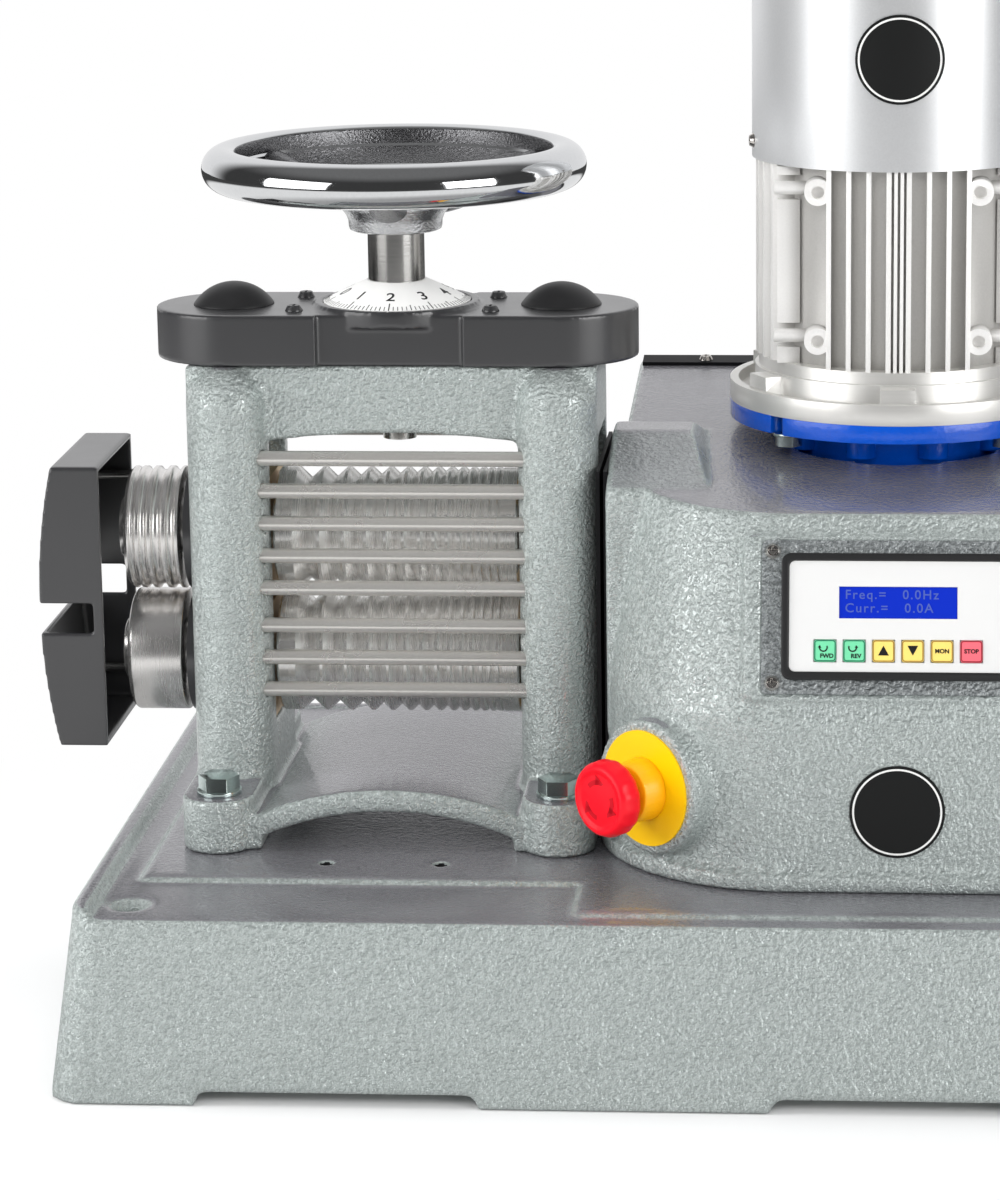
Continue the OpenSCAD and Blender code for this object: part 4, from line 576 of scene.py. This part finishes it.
# %% Lathe
def lathe(name, profile_mm, steps=96):
    """Spins a list of (radius, height) points round the Z axis."""
    bpy.ops.object.select_all(action="DESELECT")
    bpy.ops.mesh.primitive_plane_add(size=0.01, location=(0.0, 0.0, 0.0))
    piece = bpy.context.object
    piece.name = name
    bpy.ops.object.mode_set(mode="EDIT")
    bpy.ops.mesh.select_all(action="SELECT")
    bpy.ops.mesh.merge(type="CENTER")
    last = (0.0, 0.0)
    for point in profile_mm:
        step = ((point[0] - last[0]) * MM, 0.0, (point[1] - last[1]) * MM)
        if last == (0.0, 0.0):
            bpy.ops.transform.translate(value=step)
        else:
            bpy.ops.mesh.extrude_vertices_move(TRANSFORM_OT_translate={"value": step})
        last = point
    bpy.ops.mesh.select_all(action="SELECT")
    bpy.ops.mesh.spin(steps=steps, angle=math.tau, center=(0.0, 0.0, 0.0), axis=(0.0, 0.0, 1.0))
    bpy.ops.mesh.select_all(action="SELECT")
    bpy.ops.mesh.remove_doubles(threshold=MERGE_M)
    bpy.ops.mesh.normals_make_consistent(inside=False)
    bpy.ops.object.mode_set(mode="OBJECT")
    bpy.ops.object.shade_smooth_by_angle(angle=math.radians(SMOOTH_DEG))
    return piece


def settle(pieces, name=None):
    """Applies the place of one or more pieces and joins them into the first."""
    bpy.ops.object.select_all(action="DESELECT")
    for piece in pieces:
        piece.select_set(True)
    bpy.context.view_layer.objects.active = pieces[0]
    bpy.ops.object.transform_apply(location=True, rotation=True, scale=True)
    if len(pieces) > 1:
        bpy.ops.object.join()
    pieces[0].name = name or pieces[0].name
    return pieces[0]


def stand(across, along, out, place_mm):
    """A matrix whose X, Y and Z run along three directions, at a place in mm."""
    turned = Matrix((across, along, out)).transposed().to_4x4()
    return Matrix.Translation(Vector(place_mm) * MM) @ turned


def repeat(pattern, name, places):
    """Copies a pattern, each copy with its own mesh, to every place, and joins the copies."""
    copies = []
    for number, place in enumerate(places):
        copy = bpy.data.objects.new(f"{name}.{number}", pattern.data.copy())
        scene.collection.objects.link(copy)
        copy.matrix_world = place
        copies.append(copy)
    bpy.data.objects.remove(pattern)
    return settle(copies, name)


def arc(middle, radius, first, last, count):
    """Points of an arc as (radius, height) pairs, angles in degrees from outwards to up."""
    angles = [math.radians(first + (last - first) * i / count) for i in range(count + 1)]
    return [(middle[0] + radius * math.cos(a), middle[1] + radius * math.sin(a)) for a in angles]


print("lathe ready")

# %% [markdown]
# Handwheel
#
# The handwheel is one chromed casting. Its rim is round outside but its inner wall is flat and left
# rough, three dished arms drop to the hub, and the hub flares below them. The rim and hub are turned on
# the lathe. An arm starts as an oval, is extruded in steps along its curve, and a subdivision surface
# rounds it.

# %% Handwheel
MILL_X_MM = -152.0
RIM_R_MM, RIM_Z_MM, RIM_SECTION_MM = 90.0, 445.5, 11.5
RIM_WALL_MM = 83.6
RIM_INSIDE_MM = [(0.3, 9.6), (0.0, 8.8), (0.3, 1.6), (-0.9, 0.4), (-0.8, -1.6), (0.0, -8.6), (0.3, -9.6)]
HUB_BORE_MM, HUB_LOW_MM, HUB_HIGH_MM = 11.05, 411.5, 432.8

rim_profile = arc((RIM_R_MM, RIM_Z_MM), RIM_SECTION_MM, -117.0, 117.0, 44)
rim_profile += [(RIM_WALL_MM + out, RIM_Z_MM + rise) for out, rise in RIM_INSIDE_MM]
rim_profile.append(rim_profile[0])
rim = lathe("handwheel_casting", rim_profile, 176)

hub_profile = [(HUB_BORE_MM, HUB_LOW_MM), (22.8, HUB_LOW_MM), (24.2, 412.2), (24.7, 413.8), (24.9, 417.0),
               (26.2, 420.2), (28.3, 422.8), (29.4, 425.2), (29.5, 427.6), (28.4, 430.0), (25.6, 431.9),
               (21.0, HUB_HIGH_MM), (HUB_BORE_MM, HUB_HIGH_MM), (HUB_BORE_MM, HUB_LOW_MM)]
hub = lathe("wheel_hub", hub_profile)

# Each station of an arm: distance from the axis, height, half width and half thickness.
ARM_MM = [(20.0, 424.5, 10.5, 7.0), (32.0, 425.0, 9.6, 6.4), (45.0, 428.0, 8.8, 6.0),
          (58.0, 433.5, 8.2, 5.6), (72.0, 440.0, 8.0, 5.6), (85.0, 444.5, 9.4, 7.0)]


def wheel_arm(name):
    """Extrudes an oval from station to station along the arm."""
    bpy.ops.object.select_all(action="DESELECT")
    start = ARM_MM[0]
    bpy.ops.mesh.primitive_circle_add(vertices=16, radius=MM, fill_type="NGON", location=(0.0, 0.0, 0.0))
    piece = bpy.context.object
    piece.name = name
    piece.matrix_world = stand((0.0, 1.0, 0.0), (0.0, 0.0, 1.0), (1.0, 0.0, 0.0), (start[0], 0.0, start[1]))
    bpy.ops.object.transform_apply(location=True, rotation=True, scale=True)
    bpy.ops.object.mode_set(mode="EDIT")
    bpy.ops.mesh.select_all(action="SELECT")
    middle = (start[0] * MM, 0.0, start[1] * MM)
    bpy.ops.transform.resize(value=(1.0, start[2], start[3]), center_override=middle)
    for here, there in zip(ARM_MM, ARM_MM[1:]):
        move = ((there[0] - here[0]) * MM, 0.0, (there[1] - here[1]) * MM)
        bpy.ops.mesh.extrude_region_move(TRANSFORM_OT_translate={"value": move})
        wider = (1.0, there[2] / here[2], there[3] / here[3])
        middle = (there[0] * MM, 0.0, there[1] * MM)
        bpy.ops.transform.resize(value=wider, center_override=middle)
    bpy.ops.mesh.select_all(action="SELECT")
    bpy.ops.mesh.normals_make_consistent(inside=False)
    bpy.ops.object.mode_set(mode="OBJECT")
    apply_modifier(piece, "SUBSURF", levels=2, render_levels=2)
    only(piece)
    bpy.ops.object.shade_smooth()
    return piece


ARM_ANGLES_DEG = (30.0, 150.0, 270.0)
WALL_FACING = -0.9
arm_places = [Matrix.Rotation(math.radians(angle), 4, "Z") for angle in ARM_ANGLES_DEG]
arms = repeat(wheel_arm("wheel_arm"), "wheel_arms", arm_places)
rim.data.materials.append(chrome.material)
rim.data.materials.append(rough_chrome.material)
hub.data.materials.append(cast_chrome.material)
arms.data.materials.append(rough_chrome.material)
for face in rim.data.polygons:
    outward = face.normal.x * face.center.x + face.normal.y * face.center.y
    if outward < WALL_FACING * math.hypot(face.center.x, face.center.y):
        face.material_index = 1
handwheel = settle([rim, hub, arms], "handwheel_casting")
handwheel.matrix_world = Matrix.Translation((MILL_X_MM * MM, 0.0, 0.0))
settle([handwheel])
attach(handwheel, "handwheel")
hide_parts("handwheel")
print("handwheel", [slot.name for slot in handwheel.material_slots])

# %% [markdown]
# Dial
#
# The white cone under the handwheel counts the turns of the lifting screws. Ten numbers stand round it,
# with fine lines between them along its rim. A line is a thin plate, made once from a plane and copied
# round the cone. A number is a text that is turned into a mesh and laid on the slope. The print is a
# tenth of a millimetre proud.

# %% Dial
DIAL_LOW_MM, DIAL_HIGH_MM = (39.0, 374.0), (16.0, 385.0)
NUMBERS = 10
NUMBER_STEP_DEG, FINE_STEP_DEG, FRONT_DEG = 36.0, 3.6, -90.0
INK_MM, INK_SINK_MM, INK_MIDDLE_MM = 0.12, 0.02, 0.04
MARK_TAPER = (0.9, 0.98, 1.0)
CAPITAL_SHARE = 0.7
slope = math.atan2(DIAL_HIGH_MM[1] - DIAL_LOW_MM[1], DIAL_LOW_MM[0] - DIAL_HIGH_MM[0])


def on_dial(angle_deg, up_mm):
    """A place on the cone: X runs round it, Y up its slope and Z out of it."""
    a = math.radians(angle_deg)
    outward = Vector((math.cos(a), math.sin(a), 0.0))
    rise = -outward * math.cos(slope) + Vector((0.0, 0.0, math.sin(slope)))
    off = outward * math.sin(slope) + Vector((0.0, 0.0, math.cos(slope)))
    around = Vector((-math.sin(a), math.cos(a), 0.0))
    foot = outward * DIAL_LOW_MM[0] + Vector((MILL_X_MM, 0.0, DIAL_LOW_MM[1]))
    return stand(around, rise, off, foot + rise * up_mm)


def plate_mark(name, width_mm, length_mm):
    """A thin flat mark with a tapered edge."""
    bpy.ops.object.select_all(action="DESELECT")
    bpy.ops.mesh.primitive_plane_add(size=MM, location=(0.0, 0.0, -INK_SINK_MM * MM))
    piece = bpy.context.object
    piece.name = name
    bpy.ops.object.mode_set(mode="EDIT")
    bpy.ops.mesh.select_all(action="SELECT")
    bpy.ops.transform.resize(value=(width_mm, length_mm, 1.0))
    bpy.ops.mesh.extrude_region_move(TRANSFORM_OT_translate={"value": (0.0, 0.0, INK_MM * MM)})
    bpy.ops.transform.resize(value=MARK_TAPER)
    bpy.ops.mesh.select_all(action="SELECT")
    bpy.ops.mesh.normals_make_consistent(inside=False)
    bpy.ops.object.mode_set(mode="OBJECT")
    settle([piece])
    return piece


def lettering(words, height_mm, place, bold=0.0, wide=1.0):
    """Text as a thin mesh, its middle at a place."""
    bpy.ops.object.select_all(action="DESELECT")
    bpy.ops.object.text_add(location=(0.0, 0.0, 0.0))
    text = bpy.context.object
    text.data.body = words
    text.data.size = height_mm * MM / CAPITAL_SHARE
    text.data.align_x = "CENTER"
    text.data.align_y = "CENTER"
    text.data.extrude = INK_MM * MM / 2
    text.data.offset = bold * MM
    text.data.space_character = wide
    text.data.resolution_u = 4
    bpy.ops.object.convert(target="MESH")
    piece = bpy.context.object
    piece.matrix_world = place
    settle([piece])
    return piece


long_places = [on_dial(NUMBER_STEP_DEG * k + FRONT_DEG, 3.4) for k in range(NUMBERS)]
half_places = [on_dial(NUMBER_STEP_DEG * (k + 0.5) + FRONT_DEG, 2.6) for k in range(NUMBERS)]
fine_places = [on_dial(FINE_STEP_DEG * k + FRONT_DEG, 1.9) for k in range(10 * NUMBERS) if k % 5]
prints = [repeat(plate_mark("long_mark", 0.6, 6.4), "dial_long", long_places),
          repeat(plate_mark("half_mark", 0.45, 4.8), "dial_half", half_places),
          repeat(plate_mark("fine_mark", 0.38, 3.4), "dial_fine", fine_places)]
for k in range(NUMBERS):
    place = on_dial(NUMBER_STEP_DEG * (k - 2) + FRONT_DEG, 12.2)
    prints.append(lettering(str(k), 7.2, place, bold=0.1))
hand_over(settle(prints, "dial_print"), ink_black, "handwheel", "white_face")

pointer = plate_mark("dial_pointer", 0.9, 3.4)
pointer.matrix_world = stand((1, 0, 0), (0, 1, 0), (0, 0, 1), (MILL_X_MM, -41.6, 374.0))
hand_over(settle([pointer]), ink_white, "machine", "white_face")

# %% [markdown]
# Keypad
#
# The controls are a printed film over a display and six keys. Each key is a pale square inside a darker
# line, with its word or arrow printed on it. The line is a rounded square: a plane whose corners are
# bevelled, inset, and emptied in the middle. The print of a key moves down with its key, so each one is a
# piece of its own.

# %% Keypad
PANEL_MM = Vector((113.5, -130.15, 233.14))
PANEL_ACROSS = Vector((1.0, 0.0, 0.0))
PANEL_UP = Vector((0.0, 0.3746, 0.9272))
PANEL_OUT = Vector((0.0, -0.9272, 0.3746))
KEY_TOP_MM, FACE_TOP_MM, DISPLAY_TOP_MM = 7.6, 7.0, 6.6
KEY_V_MM, KEY_PITCH_MM, KEY_SIDE_MM = -17.5, 14.6, 11.0
KEY_INSIDE_MM, KEY_LINE_MM, KEY_CORNER_MM = 0.3, 0.55, 1.6
UNIT_TRIANGLE = (1.732, 1.5)


def on_panel(across_mm, up_mm, out_mm):
    place = PANEL_MM + PANEL_ACROSS * across_mm + PANEL_UP * up_mm + PANEL_OUT * out_mm
    return stand(PANEL_ACROSS, PANEL_UP, PANEL_OUT, place)


def key_frame(name, side_mm, line_mm):
    """A rounded square outline, a tenth of a millimetre thick."""
    bpy.ops.object.select_all(action="DESELECT")
    bpy.ops.mesh.primitive_plane_add(size=side_mm * MM, location=(0.0, 0.0, 0.0))
    piece = bpy.context.object
    piece.name = name
    bpy.ops.object.mode_set(mode="EDIT")
    bpy.ops.mesh.select_all(action="SELECT")
    bpy.ops.mesh.bevel(offset=KEY_CORNER_MM * MM, segments=5, affect="VERTICES")
    bpy.ops.mesh.select_all(action="SELECT")
    bpy.ops.mesh.inset(thickness=line_mm * MM)
    bpy.ops.mesh.delete(type="FACE")
    bpy.ops.mesh.select_all(action="SELECT")
    bpy.ops.mesh.extrude_region_move(TRANSFORM_OT_translate={"value": (0.0, 0.0, INK_MM * MM)})
    bpy.ops.mesh.select_all(action="SELECT")
    bpy.ops.mesh.normals_make_consistent(inside=False)
    bpy.ops.object.mode_set(mode="OBJECT")
    return piece


def triangle(name, width_mm, height_mm, up):
    """A flat arrow head, thickened. A circle of three points is 1.732 wide and 1.5 high for a radius of 1."""
    bpy.ops.object.select_all(action="DESELECT")
    bpy.ops.mesh.primitive_circle_add(vertices=3, radius=MM, fill_type="NGON", location=(0.0, 0.0, 0.0))
    piece = bpy.context.object
    piece.name = name
    bpy.ops.object.mode_set(mode="EDIT")
    bpy.ops.mesh.select_all(action="SELECT")
    wide, high = UNIT_TRIANGLE
    bpy.ops.transform.resize(value=(width_mm / wide, up * height_mm / high, 1.0))
    bpy.ops.mesh.extrude_region_move(TRANSFORM_OT_translate={"value": (0.0, 0.0, INK_MM * MM)})
    bpy.ops.mesh.select_all(action="SELECT")
    bpy.ops.mesh.normals_make_consistent(inside=False)
    bpy.ops.object.mode_set(mode="OBJECT")
    return piece


def turn_arrow(name, radius_mm, line_mm, sweep_deg, hand, first_deg=0.0):
    """A circular arrow: a short line swept round clockwise, thickened, with a head at its end."""
    bpy.ops.object.select_all(action="DESELECT")
    bpy.ops.mesh.primitive_plane_add(size=MM, location=(0.0, 0.0, 0.0))
    piece = bpy.context.object
    piece.name = name
    bpy.ops.object.mode_set(mode="EDIT")
    bpy.ops.mesh.select_all(action="SELECT")
    bpy.ops.mesh.merge(type="CENTER")
    bpy.ops.transform.translate(value=((radius_mm - line_mm / 2) * MM, 0.0, 0.0))
    bpy.ops.mesh.extrude_vertices_move(TRANSFORM_OT_translate={"value": (line_mm * MM, 0.0, 0.0)})
    bpy.ops.mesh.select_all(action="SELECT")
    bpy.ops.mesh.spin(steps=20, angle=math.radians(sweep_deg), center=(0.0, 0.0, 0.0), axis=(0.0, 0.0, 1.0))
    bpy.ops.mesh.select_all(action="SELECT")
    bpy.ops.mesh.extrude_region_move(TRANSFORM_OT_translate={"value": (0.0, 0.0, INK_MM * MM)})
    bpy.ops.mesh.select_all(action="SELECT")
    bpy.ops.mesh.normals_make_consistent(inside=False)
    bpy.ops.object.mode_set(mode="OBJECT")
    last = math.radians(-sweep_deg)
    tip = Vector((math.cos(last), math.sin(last), 0.0)) * radius_mm
    ahead_way = Vector((math.sin(last), -math.cos(last), 0.0))
    side = Vector((ahead_way.y, -ahead_way.x, 0.0))
    near_tip = min((vertex.co / MM - tip).length for vertex in piece.data.vertices)
    print(name, "sweep ends", round(near_tip, 2), "mm from the head")
    head = triangle(name + "_head", line_mm * 2.6, line_mm * 2.0, 1.0)
    head.matrix_world = stand(side, ahead_way, (0, 0, 1), tip)
    arrow = settle([piece, head], name)
    mirrored = Matrix.Scale(hand, 4, (1.0, 0.0, 0.0))
    arrow.matrix_world = mirrored @ Matrix.Rotation(math.radians(first_deg), 4, "Z")
    settle([arrow])
    only(arrow)
    bpy.ops.object.mode_set(mode="EDIT")
    bpy.ops.mesh.select_all(action="SELECT")
    bpy.ops.mesh.normals_make_consistent(inside=False)
    bpy.ops.object.mode_set(mode="OBJECT")
    return arrow


KEYS = [
    ("key_forward", "FWD", "turn", edge_green, "key_green"),
    ("key_reverse", "REV", "back", edge_green, "key_green"),
    ("key_faster", "", "up", edge_yellow, "key_yellow"),
    ("key_slower", "", "down", edge_yellow, "key_yellow"),
    ("key_mode", "MON", "", edge_yellow, "key_yellow"),
    ("key_stop", "STOP", "", edge_red, "key_red"),
]
for number, (node, word, sign, edge, slot) in enumerate(KEYS):
    across = (number - 2.5) * KEY_PITCH_MM
    line = key_frame(node + "_line", KEY_SIDE_MM - KEY_INSIDE_MM, KEY_LINE_MM)
    line.matrix_world = on_panel(across, KEY_V_MM, KEY_TOP_MM - INK_SINK_MM)
    hand_over(settle([line]), edge, node, slot)
    signs = []
    if word:
        aside, below = (0.9, 2.7) if sign else (0.0, 0.0)
        place = on_panel(across + aside, KEY_V_MM - below, KEY_TOP_MM + INK_MIDDLE_MM)
        signs.append(lettering(word, 2.1, place, bold=0.11))
    if sign in ("turn", "back"):
        key_arrow = turn_arrow(node + "_sign", 1.9, 0.7, 215.0, 1.0 if sign == "turn" else -1.0, 25.0)
        key_arrow.matrix_world = on_panel(across - 0.8, KEY_V_MM + 1.6, KEY_TOP_MM - INK_SINK_MM)
        signs.append(settle([key_arrow]))
    if sign in ("up", "down"):
        key_head = triangle(node + "_sign", 5.4, 5.0, 1.0 if sign == "up" else -1.0)
        key_head.matrix_world = on_panel(across, KEY_V_MM, KEY_TOP_MM - INK_SINK_MM)
        signs.append(settle([key_head]))
    hand_over(settle(signs, node + "_print"), ink_black, node, slot)

# Each row: words of the display, then the place of their middle across and up the panel in mm.
READOUT = [("Freq.=   0.0Hz", -3.2, 10.9), ("Curr.=   0.0A", -4.6, 4.1)]
readout = []
for words, across, high in READOUT:
    place = on_panel(across, high, DISPLAY_TOP_MM + INK_MIDDLE_MM)
    readout.append(lettering(words, 4.6, place, bold=0.06, wide=1.2))
hand_over(settle(readout, "display_lines"), display_text, "machine", "display_blue")

# %% [markdown]
# Round badges
#
# Two black discs sit where a maker would put a name. They stay bare, with a thin white line along the
# edge. The ring on the motor sleeve has to follow a curved disc, so a shrinkwrap modifier lays it on that
# disc.

# %% Badges
BADGE_LINE_MM = [(21.6, -0.02), (22.6, -0.02), (22.55, 0.1), (21.65, 0.1), (21.6, -0.02)]
HOUSING_BADGE_MM = (113.5, -150.8, 138.0)
SLEEVE_BADGE_MM = (113.5, -36.0, 503.6)
FRONT = ((1, 0, 0), (0, 0, 1), (0, -1, 0))
RING_THICK_M = 0.0002

front_ring = lathe("front_badge_line", BADGE_LINE_MM)
front_ring.matrix_world = stand(*FRONT, HOUSING_BADGE_MM)
hand_over(settle([front_ring]), ink_white, "machine", "white_face")

sleeve_ring = lathe("sleeve_badge_line", [(20.6, 0.0), (21.6, 0.0)])
sleeve_ring.matrix_world = stand(*FRONT, SLEEVE_BADGE_MM)
settle([sleeve_ring])
apply_modifier(sleeve_ring, "SHRINKWRAP", wrap_method="PROJECT", target=nodes["badge_discs"],
               use_project_y=True, use_positive_direction=True, use_negative_direction=True,
               offset=INK_MM * MM)
apply_modifier(sleeve_ring, "SOLIDIFY", thickness=RING_THICK_M, offset=-1.0)
hand_over(sleeve_ring, ink_white, "machine", "white_face")

# %% [markdown]
# Stop button
#
# The red mushroom head is turned to be released, so its edge has shallow grips, its top has a raised rim
# and three darker arrows follow the turn. The head is turned on the lathe, every other pair of side edges
# is then drawn in towards the axis, and the arrows are swept bands with heads, copied three times.

# %% Stop button
STOP_MM = Vector((-7.29, -124.48, 144.0))
STOP_OUT = Vector((-0.68200, -0.73135, 0.0))
STOP_UP = Vector((0.0, 0.0, 1.0))
STOP_ACROSS = STOP_UP.cross(STOP_OUT)
HEAD_LOW_MM, HEAD_HIGH_MM = 29.3, 43.3
GRIPS = 16
GRIP_R_MM, GRIP_LOW_MM, GRIP_HIGH_MM, GRIP_DEPTH = 18.4, 1.0, 12.0, 0.978
ARROW_SINK_MM = 0.80


def on_stop(out_mm, twist_deg=0.0):
    place = STOP_MM + STOP_OUT * out_mm
    return stand(STOP_ACROSS, STOP_UP, STOP_OUT, place) @ Matrix.Rotation(math.radians(twist_deg), 4, "Z")


top_mm = HEAD_HIGH_MM - HEAD_LOW_MM
head_profile = [(0.001, 0.0), (10.0, 0.0), (15.5, 0.3), (18.6, 1.4), (19.8, 3.4), (20.0, 6.0), (19.9, 9.0),
                (19.3, 11.4), (18.2, 13.0), (16.8, top_mm - 0.1), (15.6, top_mm), (14.6, top_mm - 0.5),
                (13.8, top_mm - 1.2), (10.0, top_mm - 0.8), (5.0, top_mm - 0.45), (0.001, top_mm - 0.35)]
mushroom = lathe("stop_mushroom", head_profile, GRIPS * 4)
only(mushroom)
bpy.ops.object.mode_set(mode="EDIT")
bpy.ops.mesh.select_all(action="DESELECT")
bpy.ops.object.mode_set(mode="OBJECT")
for vertex in mushroom.data.vertices:
    off_axis_mm = math.hypot(vertex.co.x, vertex.co.y) / MM
    high_mm = vertex.co.z / MM
    step = round(math.atan2(vertex.co.y, vertex.co.x) / math.tau * GRIPS * 4) % 4
    vertex.select = step in (0, 1) and off_axis_mm > GRIP_R_MM and GRIP_LOW_MM < high_mm < GRIP_HIGH_MM
bpy.ops.object.mode_set(mode="EDIT")
bpy.ops.transform.resize(value=(GRIP_DEPTH, GRIP_DEPTH, 1.0), center_override=(0.0, 0.0, 0.0))
bpy.ops.object.mode_set(mode="OBJECT")
apply_modifier(mushroom, "SUBSURF", levels=1, render_levels=1)
only(mushroom)
bpy.ops.object.shade_smooth()
mushroom.matrix_world = on_stop(HEAD_LOW_MM)
hand_over(settle([mushroom]), stop_red, "stop_head", "stop_red", "stop_head")

stop_arrow = turn_arrow("stop_arrow", 9.2, 3.0, 52.0, 1.0)
arrow_places = [on_stop(HEAD_HIGH_MM - ARROW_SINK_MM, twist) for twist in (20.0, 140.0, 260.0)]
hand_over(repeat(stop_arrow, "stop_arrows", arrow_places), stop_mark, "stop_head", "stop_red")

# %% [markdown]
# Studio
#
# Large soft lamps light the machine from the front, the left, the right and above. Three of them only
# fill the shadows, so mirrors don't see them. The boxes left and right do show in the metal, as bright
# upright bands. The Standard view keeps the colours of the materials as they were set.

# %% Studio
scene.view_settings.view_transform = "Standard"


def soft_lamp(name, place, aim, size, watts):
    data = bpy.data.lights.new(name, "AREA")
    data.shape = "RECTANGLE"
    data.size, data.size_y = size
    data.energy = watts
    lamp = bpy.data.objects.new(name, data)
    scene.collection.objects.link(lamp)
    lamp.location = place
    lamp.rotation_euler = (Vector(aim) - Vector(place)).to_track_quat("-Z", "Y").to_euler()
    return lamp


FILL_LAMPS = [
    soft_lamp("front_fill", (-0.3, -2.8, 1.9), (0.0, 0.0, 0.2), (1.6, 0.9), 30),
    soft_lamp("left_fill", (-2.3, -0.3, 1.1), (-0.1, 0.0, 0.25), (0.8, 1.4), 38),
    soft_lamp("top_fill", (0.2, 0.3, 2.4), (0.0, 0.0, 0.2), (1.6, 1.0), 9),
]
for lamp in FILL_LAMPS:
    lamp.visible_glossy = False
soft_lamp("left_box", (-1.9, -1.3, 0.80), (0.0, 0.0, 0.40), (1.7, 1.3), 18)
soft_lamp("right_box", (1.8, -1.5, 0.80), (0.1, 0.0, 0.40), (1.4, 1.3), 24)

# %% [markdown]
# Floor
#
# To the camera the floor is white, but it keeps a soft shadow near the machine: the mix of a lit and a
# glowing surface depends on the distance from the middle. A light path node tells camera rays from
# mirrored ones, so metal sees something else there: a table that is bright in a ring round the machine
# and dark farther out. That dark part gives chrome its black bands.

# %% Floor
FLOOR_SIDE_M, FLOOR_LOW_M = 8.0, -0.0005
FLOOR_NEAR_M, FLOOR_FAR_M = 0.36, 0.62
TABLE_M, TABLE_END_M, ROOM_M = 0.75, 1.6, 2.2
WHITE = (1.0, 1.0, 1.0, 1.0)
TABLE_NEAR, TABLE_BRIGHT, TABLE_DARK = [(grey, grey, grey, 1.0) for grey in (0.40, 0.90, 0.06)]

bpy.ops.object.select_all(action="DESELECT")
bpy.ops.mesh.primitive_plane_add(size=FLOOR_SIDE_M, location=(0.0, 0.0, FLOOR_LOW_M))
floor = bpy.context.object
floor.name = "studio_floor"
floor_finish = Finish("pale_floor", (0.86, 0.86, 0.86), 0.6)
from_camera = floor_finish.node("ShaderNodeLightPath", out="Is Camera Ray")
from_mirror = floor_finish.node("ShaderNodeLightPath", out="Is Glossy Ray")
from_middle = floor_finish.vector("LENGTH", floor_finish.coords, out="Value")
far = from_middle.between(FLOOR_NEAR_M, FLOOR_FAR_M)
table_start = from_middle.between(FLOOR_NEAR_M, TABLE_M)
table_end = from_middle.between(TABLE_END_M, ROOM_M)
inner_table = floor_finish.mix(table_start, TABLE_NEAR, TABLE_BRIGHT)
table = floor_finish.mix(table_end, inner_table, TABLE_DARK)
floor_light = floor_finish.mix(from_mirror, WHITE, table)
glow = floor_finish.node("ShaderNodeEmission", None, {"Color": floor_light})
lit = Wire(floor_finish, floor_finish.shader.outputs[0])
glow_share = far * from_camera + from_mirror
blend = floor_finish.node("ShaderNodeMixShader", None, {0: glow_share, 1: lit, 2: glow})
floor_finish.join(blend, floor_finish.tree.nodes["Material Output"].inputs["Surface"])
floor.data.materials.append(floor_finish.material)
print("floor", floor.name)

# %% [markdown]
# Room
#
# The world is the light that comes from everywhere else. The camera sees it white. For the other rays the
# direction chooses: a bright backdrop behind the machine, a softer ceiling, and walls that are dim, and
# nearly dark in mirrors.

# %% Room
BACKDROP_LIGHT = 0.85
BLACK, ROOM_WHITE = (0.0, 0.0, 0.0, 1.0), (1.0, 1.0, 1.01, 1.0)

world = bpy.data.worlds.new("white_room")
scene.world = world
world.use_nodes = True
room = Network(world.node_tree)
direction = room.node("ShaderNodeTexCoord", out="Generated")
backdrop = room.part(direction, "Y").between(0.35, 0.75)
ceiling = room.part(direction, "Z").between(0.45, 0.90)
mirror = room.node("ShaderNodeLightPath", out="Is Glossy Ray")
walls = 0.30 - 0.25 * mirror
overhead = (0.45 - 0.33 * mirror) * ceiling
brightness = (walls + overhead) * (1.0 - backdrop) + BACKDROP_LIGHT * backdrop
seen = room.node("ShaderNodeLightPath", out="Is Camera Ray")
unseen_light = room.mix(brightness, BLACK, ROOM_WHITE)
room_light = room.mix(seen, unseen_light, WHITE)
room.join(room_light, world.node_tree.nodes["Background"].inputs["Color"])
print("room", world.name)
